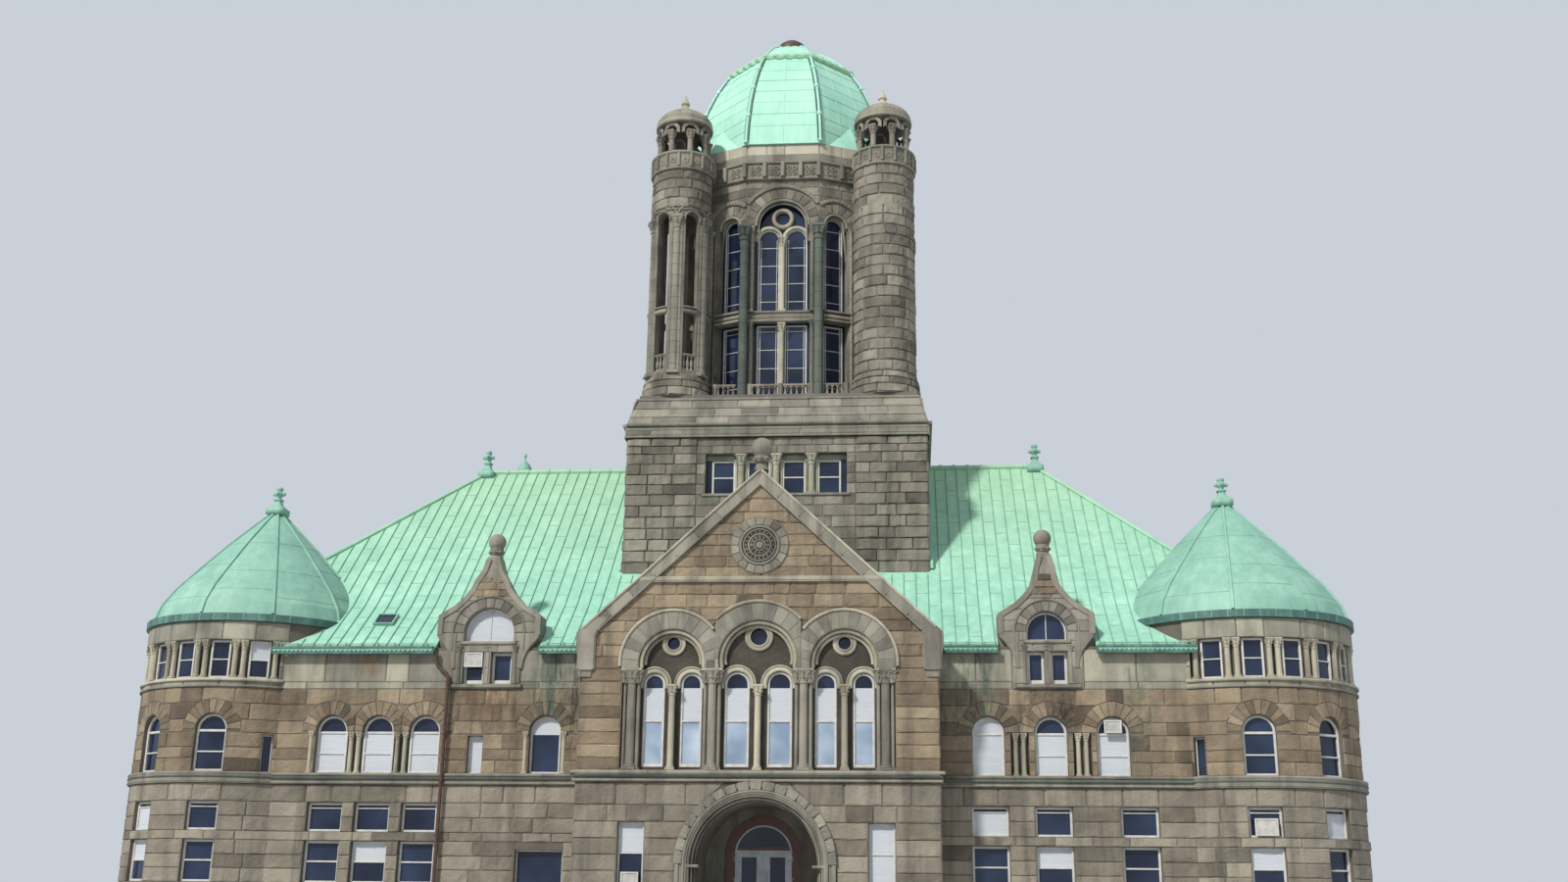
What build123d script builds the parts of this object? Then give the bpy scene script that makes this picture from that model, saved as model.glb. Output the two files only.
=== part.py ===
from build123d import *
from math import acos, asin, atan2, cos, degrees, pi, radians, sin, sqrt
import os

os.makedirs("parts", exist_ok=True)

# A granite courthouse with copper roofs, as a model at half of full size: 1 mm here is 2 mm on the building.
# X runs to the right along the front, Y runs back and Z runs up. The origin is at ground level,
# on the axis of the entrance, in the front face of the gabled pavilion.

# Clearances
fit = 0.3               # between a piece and the seat it stands in
joint = 2.0             # open joint between stones of one wall
door_gap = 5.0          # around each door leaf

# Plan
wall = 375.0            # thickness of the outer walls
pavilion_half = 3150.0  # half width of the gabled pavilion
wing_front = 1050.0     # how far the wings stand back from the pavilion
left_face = -11800.0
right_face = 10375.0
tower_axis = 6165.0     # Y of the great tower's axis, which is also the ridge's
left_round = -10210.0   # X of the left round tower's axis
right_round = 8780.0
round_y = 2815.0
round_radius = 2130.0
rear_face = 2 * tower_axis - wing_front

# Levels
plinth_top = 550.0
plinth_out = 75.0
floor_depth = 125.0
second_floor = 2650.0
third_floor = 4350.0
eave = 5190.0
belt_low = 2690.0
belt_high = 2890.0
belt_out = 60.0

# Windows of the wings and towers
glass = 30.0            # thickness of a sash with its glass
reveal = 125.0          # how deep a sash stands in the wall
sill_up = 2890.0        # sills of the upper, arched windows
spring_up = 3650.0      # where their arches spring
half_up = 290.0
lower_sill = 950.0
lower_head = 1695.0
transom_sill = 1850.0
transom_head = 2370.0
half_low = 330.0
slit_half = 140.0
slit_head = 3570.0
left_bays = (-7990.0, -7110.0, -6235.0)
left_slit = -5275.0
left_single = -3985.0
right_bays = (4040.0, 5150.0, 6240.0)
right_low_bays = (4040.0, 5150.0, 6640.0)
side_bays = (5500.0, 7400.0, 9300.0)
recess_half = 435.0     # dark side opening under a label moulding
recess_head = 1565.0
third_sill = 4590.0
third_head = 5300.0
third_half = 190.0
first_window = -88.0    # angle of the left tower's foremost window
window_pitch = 38.0
slit_angle = -60.0
top_windows = 18
sill_depth = 90.0
roof_margin = 25.0      # angle kept free of windows where the roofs meet the round towers
post_recess = 125.0     # how deep the colonnettes stand back in the walls

# Pavilion
gable_foot = 5285.0     # top of the kneelers
gable_apex = 8295.0     # top of the coping
coping = 240.0          # upright depth of the raking coping
coping_out = 60.0
kneeler_out = 100.0
arcade_sill = 2890.0
arch_pitch = 1520.0     # from the middle arch to a side arch
arch_half = 680.0
arch_spring = 4650.0
arch_rise = 860.0
side_arch_half = 590.0
side_arch_rise = 700.0
ring_width = 320.0      # voussoirs round the arcade's arches
ring_out = 40.0
capital_low = 4375.0
capital_high = 4650.0
column_foot = 2955.0
lancet_half = 225.0
entrance_z = 1315.0     # centre of the entrance arch
entrance_half = 1165.0
entrance_ring = 210.0
entrance_out = 70.0
porch_half = 1045.0
porch_depth = 1500.0
porch_outer = 1600.0    # half width of the porch with its walls
side_light_x = 2155.0   # small windows beside the entrance
side_light_half = 230.0
side_light_head = 2020.0
rosette_z = 6860.0
rosette_radius = 340.0
rosette_ring = 190.0
gable_string = 6215.0
string_depth = 70.0
string_out = 50.0

# Entrance steps and doors
risers = 7
tread = 165.0
cheek = 210.0
leaf_half = 510.0
leaf_thick = 25.0
leaf_top = 1600.0
arch_centre = 1520.0
fanlight_radius = 530.0
surround_radius = 695.0
door_wall = 250.0
transom_bar = 60.0
pin_radius = 4.0
barrel_radius = 9.0
barrel_length = 60.0
pin_play = 0.3

# Roofs
roof_depth = 125.0      # upright depth of the roof shells
roof_out = 90.0         # eaves beyond the wall face
ridge_z = 9950.0
ridge_left = -6830.0
ridge_right = 5470.0
bell_share = 0.25       # part of the slope that is bell-cast
bell_rise = 0.21        # share of the height it climbs
pavilion_ridge = 8090.0
cone_eave = round_radius + 5.0
cone_gutter = 2200.0
cone_foot = 5800.0
round_top = cone_foot - fit     # the cones stand on the round towers' walls
cone_apex = 8305.0
cone_gutter_low = 5655.0
cone_gutter_high = 5790.0
gutter_wall = 25.0
gutter_out = 185.0
gutter_low = 5055.0
gutter_high = eave - fit

# Dormers
dormer_x = (-5140.0, 5135.0)
dormer_kneeler = (980.0, 875.0)
dormer_lunette = (470.0, 368.0)
dormer_jamb = 630.0
dormer_foot = 4425.0
dormer_out = 30.0
dormer_sill = 4515.0
dormer_head = 5100.0
lunette_foot = 5295.0
lunette_spring = 5460.0
dormer_roof_eave = 5700.0
dormer_roof_ridge = 6500.0

# Great tower
tower_half = 3055.0
tower_low = 6750.0
pier = 1000.0
band_half = 1440.0      # window band in each face of the tower's base
band_low = 8615.0
band_high = 9475.0
cornice_low = 9815.0
cornice_high = 10100.0
cornice_out = 60.0
lantern_foot = 10700.0
lantern_floor = 10800.0
tower_room = 8300.0

# Lantern: twelve walls, four of them facing square on
lantern_face = 2150.0
lantern_face_half = 800.0
lantern_corner = 1720.0
lantern_wall = 300.0
lantern_reveal = 190.0
lantern_top = 16020.0
main_half = 610.0
main_spring = 14950.0
canted_half = 290.0
canted_shift = 110.0     # the opening stands nearer to the square face
canted_spring = 14950.0
frieze_out = 60.0
frieze_top = 16425.0
band_top = 16875.0
rail_top = 11225.0

# Turrets at the corners of the lantern
turret_at = 2215.0
turret_radius = 640.0
turret_flare = 720.0
turret_foot = 10700.0
turret_waist = 11300.0
turret_wall = 170.0
turret_top = 16425.0
turret_cap = 17200.0
turret_crown = 17840.0

# Dome: every section is the same octagon, and its size follows an ellipse
dome_centre = 16370.0
dome_rise = 4030.0
dome_swell = 1.045
dome_depth = 110.0
dome_top = 20300.0
cap_radius = 330.0
broach_top = 17800.0
rib_width = 60.0
rib_out = 35.0
rib_ring = 19650.0


def box(x0, x1, y0, y1, z0, z1):
    """A box between two values on each axis."""
    size = (x1 - x0, y1 - y0, z1 - z0)
    return Pos((x0 + x1) / 2, (y0 + y1) / 2, (z0 + z1) / 2) * Box(*size)


def upright(outline, y0, y1):
    """A face drawn with x across and y up, stood on end and made y1 - y0 deep."""
    plane = Plane(origin=(0, y1, 0), x_dir=(1, 0, 0), z_dir=(0, -1, 0))
    return extrude(plane * outline, amount=y1 - y0)


def polygon(points):
    return make_face(Polyline(*points, close=True))


def arched(x, half, foot, spring, rise):
    """A round-headed outline."""
    left, right = x - half, x + half
    return make_face([
        Line((left, foot), (right, foot)),
        Line((right, foot), (right, spring)),
        ThreePointArc((right, spring), (x, spring + rise), (left, spring)),
        Line((left, spring), (left, foot)),
    ])


def flat_topped(x, half, foot, head):
    return polygon([(x - half, foot), (x + half, foot), (x + half, head), (x - half, head)])


def tube(x, y, radius, z0, z1):
    return Pos(x, y, (z0 + z1) / 2) * Cylinder(radius, z1 - z0)


def turned(profile, x, y):
    """A solid of revolution about the upright line through x, y."""
    outline = polygon([(r, z) for r, z in profile])
    stood = Plane(origin=(0, 0, 0), x_dir=(1, 0, 0), z_dir=(0, -1, 0)) * outline
    return Pos(x, y, 0) * revolve(stood, axis=Axis.Z)


def solids(*shapes):
    found = []
    for shape in shapes:
        if isinstance(shape, (list, tuple)):
            found += solids(*shape)
        else:
            found += list(shape.solids())
    return found


def save(name, *shapes):
    pieces = solids(*shapes)
    whole = pieces[0] if len(pieces) == 1 else Compound(pieces)
    export_step(whole, "parts/" + name + ".step")


def facade(x, y, turn):
    """The place of a wall: its local x runs to the right seen from outside, its local y inward."""
    return Location((x, y, 0), (0, 0, turn))


def round_facade(centre, angle, radius=round_radius):
    """The place of a window in a round tower, at an angle from +X."""
    a = radians(angle)
    return facade(centre + radius * cos(a), round_y + radius * sin(a), angle + 90)


def turn_to(angle, mirror):
    """The same angle on the left tower (-1) or mirrored onto the right one (1)."""
    return angle if mirror < 0 else -180 - angle


def tower_span(centre):
    """Angles at which a round tower's outer face leaves the wing's front wall and the side wall."""
    side = left_face if centre < 0 else right_face
    front_run = round_y - wing_front - wall
    side_run = abs(side - centre) - wall
    return -degrees(asin(front_run / round_radius)), -180 - degrees(acos(side_run / round_radius))


tower_windows_at = [first_window - k * window_pitch for k in range(4)]


def tower_breaks(centre, mirror):
    """Angles of the open joints in a round tower, midway between its windows."""
    return [turn_to(angle + window_pitch / 2, mirror) for angle in tower_windows_at]


left_side = facade(left_face, tower_axis, -90)
right_side = facade(right_face, tower_axis, 90)
rear_side = facade(0, rear_face, 180)
front_side = facade(0, wing_front, 0)
deep = wall + 100


def cut_window(place, outline):
    return place * upright(outline, -100, deep)


def sash(place, outline_of, *sizes):
    """A sash with its glass, smaller than its opening by the fit."""
    return place * upright(outline_of(*sizes), reveal, reveal + glass)


class Openings:
    """Windows gathered by storey, each as a cutter for the wall and a sash that fills it."""

    def __init__(self):
        self.cutters = []
        self.sashes = {"first": [], "second": [], "third": []}

    def arch(self, place, x, half, foot, spring, rise, storey):
        self.cutters.append(cut_window(place, arched(x, half, foot, spring, rise)))
        inner = (x, half - fit, foot + fit, spring, rise - fit)
        self.sashes[storey].append(sash(place, arched, *inner))

    def flat(self, place, x, half, foot, head, storey):
        self.cutters.append(cut_window(place, flat_topped(x, half, foot, head)))
        inner = (x, half - fit, foot + fit, head - fit)
        self.sashes[storey].append(sash(place, flat_topped, *inner))

    def pair(self, place, x, half=half_low):
        """A ground-storey window: a tall light with a stone transom and a short light over it."""
        self.flat(place, x, half, lower_sill, lower_head, "first")
        self.flat(place, x, half, transom_sill, transom_head, "first")

    def upper(self, place, x, half=half_up):
        self.arch(place, x, half, sill_up, spring_up, half, "second")


def corner_room(out, z0, z1):
    """The block's two front corners, which the round towers take the place of."""
    return [box(left_face - out - 1, left_round, wing_front - out - 1, round_y, z0, z1),
            box(right_round, right_face + out + 1, wing_front - out - 1, round_y, z0, z1)]


def footprint(out):
    """The plan of the whole building, grown outward by a distance."""
    x0, x1, y0, y1 = left_face - out, right_face + out, wing_front - out, rear_face + out
    block = polygon([(x0, round_y), (left_round, round_y), (left_round, y0), (right_round, y0),
                     (right_round, round_y), (x1, round_y), (x1, y1), (x0, y1)])
    half = pavilion_half + out
    front = polygon([(-half, -out), (half, -out), (half, tower_axis), (-half, tower_axis)])
    plan = block + front
    for x in (left_round, right_round):
        plan += Pos(x, round_y) * Circle(round_radius + out)
    return plan


def arc_wall(centre, first, last, z0, z1, out=0.0):
    """A curved wall from one angle to another, seen from above and turning to the left."""
    ring_face = Circle(round_radius + out) - Circle(round_radius - wall - out)
    reach = round_radius * 3
    corners = [(0, 0)]
    n = 12
    for k in range(n + 1):
        a = radians(first + (last - first) * k / n)
        corners.append((reach * cos(a), reach * sin(a)))
    sector = make_face(Polyline(*corners, close=True))
    piece = extrude(ring_face & sector, amount=z1 - z0)
    return Pos(centre, round_y, z0) * piece


def storey_slab(top):
    """A floor inside the outer walls, clear of the piers and of the ends of the round towers' walls."""
    slab = Pos(0, 0, top - floor_depth) * extrude(footprint(-wall - fit), amount=floor_depth)
    for centre, mirror in ((left_round, -1), (right_round, 1)):
        start, end = tower_span(centre)
        span = sorted((turn_to(start + 1, mirror), turn_to(end - 1, mirror)))
        slab -= arc_wall(centre, *span, 0, eave, fit)
    return slab - pier_room


def pier_at(sx, y, out, z0):
    """A square pier under a corner of the great tower, grown outward by a distance."""
    x0, x1 = sorted((sx * tower_half, sx * (tower_half - pier)))
    return box(x0 - out, x1 + out, y - out, y + pier + out, z0, tower_low)


openings = Openings()
pier_rows = (tower_axis - tower_half, tower_axis + tower_half - pier)
piers = [pier_at(sx, y, 0, 0) for sx in (-1, 1) for y in pier_rows]
pier_room = [pier_at(sx, y, fit, -1) for sx in (-1, 1) for y in pier_rows]
save("tower_piers", piers)

# Plinth, steps and floors
stair_half = entrance_half
ring = extrude(footprint(plinth_out) - footprint(-wall), amount=plinth_top)
ring -= box(-stair_half - cheek, stair_half + cheek, -plinth_out - 1, 0, -1, plinth_top + 1)
lanes = [(sx * (pavilion_half - wall), -plinth_out - 1, wing_front + wall + 1) for sx in (-1, 1)]
lanes += [(x, rear_face - wall - 1, rear_face + plinth_out + 1) for x in (left_face + wall, right_face - wall)]
cuts = [box(x - joint / 2, x + joint / 2, y0, y1, -1, plinth_top + 1) for x, y0, y1 in lanes]
for centre, mirror in ((left_round, -1), (right_round, 1)):
    for angle in tower_breaks(centre, mirror):
        blade = Pos(round_radius - wall / 2 + plinth_out / 2, 0, plinth_top / 2) * Box(
            wall + plinth_out + 20, joint, plinth_top + 2)
        cuts.append(Pos(centre, round_y, 0) * Rot(0, 0, angle) * blade)
rise = plinth_top / risers
run = tread * (risers - 1)
profile = [(0, 0), (-run, 0)]
for k in range(risers - 1):
    profile += [(-run + k * tread, (k + 1) * rise), (-run + (k + 1) * tread, (k + 1) * rise)]
flight = Plane(origin=(-stair_half + fit, 0, 0), x_dir=(0, 1, 0), z_dir=(1, 0, 0)) * polygon(profile)
save("front_steps", extrude(flight, amount=2 * (stair_half - fit)))
cheek_outline = polygon([(0, 0), (-run - tread, 0), (-run - tread, 3 * rise), (-run, 3 * rise),
                         (-tread, plinth_top), (0, plinth_top)])
cheek_side = Plane(origin=(0, 0, 0), x_dir=(0, 1, 0), z_dir=(1, 0, 0)) * cheek_outline
cheek_wall = extrude(cheek_side, amount=cheek)
cheeks = [Pos(x, 0, 0) * cheek_wall for x in (-stair_half - cheek, stair_half)]
save("plinth", (ring + cheeks) - cuts)

# Floors: the courtroom in the pavilion is open from the second floor to the roof
court_back = tower_axis - tower_half + pier
court_room = box(-pavilion_half, pavilion_half, -1, court_back, third_floor - 2 * floor_depth, third_floor + 1)
save("storey_floors",
     storey_slab(plinth_top), storey_slab(second_floor), storey_slab(third_floor) - court_room)


def colonnette(place, x, y, foot, top, radius):
    """A slim column with a square base and a flared capital, eight-sided so that many stay light."""
    base = Pos(x, y, foot + radius * 0.6) * Box(radius * 2.8, radius * 2.8, radius * 1.2)
    shaft = Pos(x, y, foot + radius) * extrude(RegularPolygon(radius, 8), amount=top - foot - radius * 2)
    cap_low = top - radius * 3.4
    cap = Pos(x, y, cap_low) * extrude(Rectangle(radius * 1.8, radius * 1.8), amount=radius * 2.4, taper=-12)
    abacus = Pos(x, y, top - radius * 0.5) * Box(radius * 2.9, radius * 2.9, radius)
    return place * (base + shaft + cap + abacus)


# Walls of the wings
wall_low, wall_high = plinth_top, eave
round_room = [tube(x, round_y, round_radius + fit, -1, round_top + 1) for x in (left_round, right_round)]


def dormer_notch(i, out=fit):
    x = dormer_x[i]
    return box(x - dormer_jamb - out, x + dormer_jamb + out, -100, deep, dormer_foot - out, eave + 1)


thin = 42.0             # radius of the small colonnettes
thin_apart = 70.0       # from the middle of a pair to either colonnette
pair_room = 150.0       # half width of the recess that a pair stands in
left_front = box(left_round, -pavilion_half, 0, wall, wall_low, wall_high)
right_front = box(pavilion_half, right_round, 0, wall, wall_low, wall_high)
for x in left_bays:
    openings.upper(front_side, x)
    openings.pair(front_side, x)
openings.flat(front_side, left_slit, slit_half, sill_up, slit_head, "second")
openings.upper(front_side, left_single)
openings.flat(front_side, left_single, recess_half, lower_sill, recess_head, "first")
for x in right_bays:
    openings.upper(front_side, x)
for x in right_low_bays:
    openings.pair(front_side, x)
front_cutters = list(openings.cutters)
wall_posts = []
for bays in (left_bays, right_bays):
    for a, b in zip(bays, bays[1:]):
        middle = (a + b) / 2
        between = min((b - a) / 2 - half_up, pair_room)
        front_cutters.append(front_side * box(middle - between - 10, middle + between + 10, -1, post_recess,
                                              sill_up, spring_up))
        for s in (-1, 1):
            wall_posts.append(colonnette(front_side, middle + s * thin_apart, post_recess / 2, sill_up + fit,
                                         spring_up - fit, thin))
save("left_wing_front", front_side * (left_front - dormer_notch(0)) - front_cutters - round_room)
save("right_wing_front", front_side * (right_front - dormer_notch(1)) - front_cutters - round_room)

side_walls = []
for place, sign, face in ((left_side, -1, left_face), (right_side, 1, right_face)):
    openings.cutters = []
    for y in side_bays:
        openings.upper(place, sign * (y - tower_axis))
        openings.pair(place, sign * (y - tower_axis))
    x0, x1 = sorted((face, face - sign * wall))
    panel = box(x0, x1, round_y, rear_face - wall - joint, wall_low, wall_high)
    side_walls.append(panel - openings.cutters - round_room)
for sx in (-1, 1):
    x0, x1 = sorted((sx * pavilion_half, sx * (pavilion_half - wall)))
    side_walls.append(box(x0, x1, wall, wing_front + wall, wall_low, wall_high))
save("side_walls", side_walls)

openings.cutters = []
rear_bays = [-9900.0 + k * 1800.0 for k in range(12)]
for x in rear_bays:
    openings.upper(rear_side, -x)
    openings.pair(rear_side, -x)
rear_panel = box(left_face, right_face, rear_face - wall, rear_face, wall_low, wall_high)
rear_notches = [rear_side * dormer_notch(i) for i in range(2)]
save("rear_wall", rear_panel - openings.cutters - rear_notches)

# Pavilion walls: the ground storey, the gabled front above it and the short returns
pavilion_low = box(-pavilion_half, pavilion_half, 0, wall, wall_low, belt_low)
entrance_hole = upright(arched(0, entrance_half, 0, entrance_z, entrance_half), -100, deep)
front_plane = facade(0, 0, 0)
openings.cutters = []
for x in (-side_light_x, side_light_x):
    openings.flat(front_plane, x, side_light_half, lower_sill, side_light_head, "first")
save("pavilion_lower_wall", pavilion_low - entrance_hole - openings.cutters)

gable_rise = (gable_apex - gable_foot) / (pavilion_half + kneeler_out)


def gable_z(x, drop=0.0):
    """Height of the coping's top at a distance from the axis."""
    return gable_apex - gable_rise * abs(x) - drop


shoulder = gable_z(pavilion_half, coping)
gable_outline = polygon([(-pavilion_half, belt_low), (pavilion_half, belt_low), (pavilion_half, shoulder),
                         (0, gable_apex - coping), (-pavilion_half, shoulder)])
arches = [(-arch_pitch, side_arch_half, side_arch_rise), (0, arch_half, arch_rise),
          (arch_pitch, side_arch_half, side_arch_rise)]
arcade_cutters = [upright(arched(x, half, arcade_sill, arch_spring, height), -100, deep)
                  for x, half, height in arches]
rosette_plane = Plane(origin=(0, coping_out, rosette_z), x_dir=(1, 0, 0), z_dir=(0, -1, 0))
rosette_recess = extrude(rosette_plane * Circle(rosette_radius), amount=coping_out + 100)
pier_width = arch_pitch - arch_half - side_arch_half
pier_step = 84.0
pier_middles = []
for s in (-1, 1):
    pier_middles.append(s * (arch_half + pier_width / 2))
    pier_middles.append(s * (arch_pitch + side_arch_half + pier_width / 2))
pockets = [box(x - pier_width / 2 - 45, x + pier_width / 2 + 45, -1, post_recess, arcade_sill, capital_high)
           for x in pier_middles]
string_half = (gable_apex - coping - gable_string - string_depth) / gable_rise - joint
string = upright(flat_topped(0, string_half, gable_string, gable_string + string_depth), -string_out, 0)
stones = Plane(origin=(0, 0, rosette_z), x_dir=(1, 0, 0), z_dir=(0, -1, 0)) * (
    Circle(rosette_radius + rosette_ring) - Circle(rosette_radius))
gable_wall = upright(gable_outline, 0, wall) - arcade_cutters - rosette_recess - pockets
save("pavilion_gable_wall", gable_wall + string + extrude(stones, amount=25))

# Rings of voussoirs, which meet midway between the arches, and the three rings of the entrance arch
rings = []
ring_reach = (arch_pitch - joint) / 2
for x, half, height in arches:
    outer = arched(x, half + ring_width, arch_spring, arch_spring + 1, height + ring_width - 1)
    inner = arched(x, half, arch_spring - 10, arch_spring, height)
    whole_ring = upright(outer, -ring_out, 0) - upright(inner, -ring_out - 10, 10)
    x0 = -pavilion_half if x < 0 else x - ring_reach
    x1 = pavilion_half if x > 0 else x + ring_reach
    rings.append(whole_ring & box(x0, x1, -2 * ring_out, wall, arch_spring, gable_string))
save("arcade_arch_rings", rings)

entrance_rings = []
band_count = 3
band_width = entrance_ring / band_count
for k in range(band_count):
    r0 = entrance_half + k * band_width + (fit if k else 0)
    r1 = entrance_half + (k + 1) * band_width
    out = entrance_out * (k + 1) / band_count
    band = upright(arched(0, r1, plinth_top, entrance_z, r1), -out, 0)
    band -= upright(arched(0, r0, 0, entrance_z, r0), -out - 10, 10)
    entrance_rings.append(band)
save("entrance_arch", entrance_rings)

ceiling = second_floor - floor_depth - joint
porch = box(-porch_outer, porch_outer, wall, porch_depth, plinth_top, ceiling)
save("porch_walls", porch - upright(arched(0, porch_half, 0, entrance_z, porch_half), 0, porch_depth + 10))

# Entrance: wall round the doorway, wooden surround, fanlight and two leaves
door_y = porch_depth
head_z = leaf_top + 40
hole_radius = surround_radius + fit
door_hole = upright(arched(0, hole_radius, 0, arch_centre, hole_radius), 0, door_y + door_wall + 10)
beside = box(-porch_outer, porch_outer, door_y, door_y + door_wall, plinth_top, head_z)
above = box(-porch_outer, porch_outer, door_y, door_y + door_wall, head_z + joint, ceiling)
save("door_wall", beside - door_hole, above - door_hole)

door_face = door_y + 60
surround_back = door_face + 90
jamb_edge = leaf_half + door_gap
jamb_top = leaf_top + door_gap
frame_arch = upright(arched(0, surround_radius, 0, arch_centre, surround_radius), door_face, surround_back)
jambs = []
for sx in (-1, 1):
    x0, x1 = sorted((sx * jamb_edge, sx * surround_radius))
    jambs.append(frame_arch & box(x0, x1, door_face, surround_back, plinth_top, jamb_top))


def door_top(z):
    """Everything between the front and back of the doorway above a level."""
    return box(-porch_outer, porch_outer, 0, rear_face, z, second_floor)


light_z = leaf_top + transom_bar
light_hole = upright(arched(0, fanlight_radius, 0, arch_centre, fanlight_radius), 0, rear_face)
save("door_surround", jambs, (frame_arch & door_top(jamb_top + joint / 2)) - (light_hole & door_top(light_z)))
fan_radius = fanlight_radius - fit
fan = upright(arched(0, fan_radius, 0, arch_centre, fan_radius), door_face + 30, door_face + 50)
save("fanlight", fan & door_top(light_z + fit))

hinge_x = leaf_half + door_gap / 2
hinge_y = door_face - barrel_radius - 1
hinge_levels = [plinth_top + 150, (plinth_top + leaf_top) / 2, leaf_top - 150]
lug = 8.0
stile = 110.0


def door_leaf(sx):
    """One leaf with its window cut through and its hinge barrels; sx is -1 for the left leaf."""
    near, far = sx * leaf_half, sx * door_gap / 2
    leaf = box(*sorted((near, far)), door_face, door_face + leaf_thick, plinth_top + door_gap, leaf_top)
    pane = box(*sorted((near - sx * stile, far + sx * stile)), door_face - 50, door_face + 100,
               plinth_top + 420, leaf_top - stile)
    panel = box(*sorted((near - sx * stile, far + sx * stile)), door_face - 50, door_face + 8,
                plinth_top + 130, plinth_top + 330)
    leaf = leaf - pane - panel
    for z in hinge_levels:
        barrel = tube(sx * hinge_x, hinge_y, barrel_radius, z - barrel_length / 2, z + barrel_length / 2)
        flap = box(*sorted((sx * hinge_x, sx * (leaf_half - 30))), hinge_y, door_face,
                   z - barrel_length / 2, z + barrel_length / 2)
        bore = tube(sx * hinge_x, hinge_y, pin_radius + pin_play, z - barrel_length, z + barrel_length)
        leaf = leaf + barrel + flap - bore
    pull_x = far + sx * 55
    pull = box(pull_x - 6, pull_x + 6, door_face - 40, door_face - 28, plinth_top + 480, plinth_top + 700)
    for z in (plinth_top + 490, plinth_top + 690):
        pull += box(pull_x - 6, pull_x + 6, door_face - 40, door_face, z - 10, z + 10)
    leaf += pull
    light = box(*sorted((near - sx * (stile + fit), far + sx * (stile + fit))), door_face + 8, door_face + 16,
                plinth_top + 420 + fit, leaf_top - stile - fit)
    return leaf, light


for name, sx in (("left", -1), ("right", 1)):
    leaf, light = door_leaf(sx)
    save(name + "_door", leaf)
    save(name + "_door_glass", light)

pins = []
for sx in (-1, 1):
    for z in hinge_levels:
        half = barrel_length / 2
        pin = tube(sx * hinge_x, hinge_y, pin_radius, z - half - lug - pin_play, z + half + lug + pin_play)
        for z0 in (z - half - lug - pin_play, z + half + pin_play):
            x0, x1 = sorted((sx * (hinge_x - pin_radius), sx * (hinge_x + 40)))
            pin += box(x0, x1, hinge_y - pin_radius, door_face, z0, z0 + lug)
        pins.append(pin)
save("hinge_pins", pins)

# String course round the whole building, at the floor of the arched windows
belt = Pos(0, 0, belt_low) * extrude(footprint(belt_out) - footprint(fit), amount=belt_high - belt_low)
sill_ledge = box(-pavilion_half, pavilion_half, -2 * belt_out, -fit, arcade_sill - 80, arcade_sill)
save("belt_course", belt + sill_ledge)

# Raking coping of the gable, which runs out over the kneelers
edge = pavilion_half + kneeler_out
coping_outline = polygon([
    (-edge, gable_foot - coping), (-edge, gable_foot), (0, gable_apex),
    (edge, gable_foot), (edge, gable_foot - coping),
    (pavilion_half, shoulder - 700), (pavilion_half, shoulder), (0, gable_apex - coping),
    (-pavilion_half, shoulder), (-pavilion_half, shoulder - 700)])
save("gable_coping", upright(coping_outline, -coping_out, wall))


def ball_finial(x, y, foot, neck, ball_z, ball):
    """A ball on a waisted neck with a collar."""
    collar = ball_z - ball * 0.75
    profile = [(0, foot), (neck * 1.5, foot), (neck, foot + (collar - foot) * 0.6), (neck, collar - 50),
               (neck * 1.5, collar - 25), (neck * 1.5, collar), (neck * 0.8, collar + 10), (0, collar + 10)]
    return turned(profile, x, y) + Pos(x, y, ball_z) * Sphere(ball)


finials = [ball_finial(0, (wall - coping_out) / 2, gable_apex, 90, 8725, 195)]
rosette = extrude(rosette_plane * Circle(rosette_radius - fit), amount=30)
for k in range(12):
    a = 2 * pi * k / 12
    petal = Pos(rosette_radius * 0.55 * cos(a), coping_out - 30, rosette_z + rosette_radius * 0.55 * sin(a))
    rosette += petal * Rot(90, 0, 0) * Cylinder(48, 30)
rosette += Pos(0, coping_out - 35, rosette_z) * Rot(90, 0, 0) * Cylinder(90, 40)
save("gable_rosette", rosette)


# Columns of the arcade, in pairs on the piers and one in the middle of each window
slim = 55.0
clusters = []
for x, half, height in arches:
    clusters.append(colonnette(front_plane, x, post_recess / 2, arcade_sill + fit, capital_low, slim))
for x in pier_middles:
    for s in (-1, 1):
        clusters.append(colonnette(front_plane, x + s * pier_step, post_recess - slim * 1.45 - fit,
                                   arcade_sill + fit, capital_high - fit, slim))
save("arcade_columns", clusters)

# Windows of the arcade: two lancets and a round light under each arch
tracery_y = 160.0
tracery, lights = [], []
for x, half, height in arches:
    plate_outline = arched(x, half - fit, arcade_sill + fit, arch_spring, height - fit)
    plate = upright(plate_outline, tracery_y, tracery_y + 60)
    lancet_x = (slim + half) / 2 + 10
    lancet = lancet_half if half > 600 else lancet_half - 30
    eye = 190 if half > 600 else 150
    holes = [upright(arched(x + s * lancet_x, lancet, arcade_sill + 60, capital_low + 20, lancet), 0, 400)
             for s in (-1, 1)]
    eye_z = arch_spring + height - eye - 90
    holes.append(Plane(origin=(x, 400, eye_z), x_dir=(1, 0, 0), z_dir=(0, -1, 0)) * Circle(eye))
    holes[-1] = extrude(holes[-1], amount=400)
    tracery.append(plate - holes)
    sheet = arched(x, half - fit, arcade_sill + fit, arch_spring, height - fit)
    lights.append(upright(sheet, tracery_y + 60 + fit, tracery_y + 80))
save("arcade_tracery", tracery)
openings.sashes["second"] += lights

# Dormers: a gabled stone front with a lunette, and a small copper roof behind it
dormers = []


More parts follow.
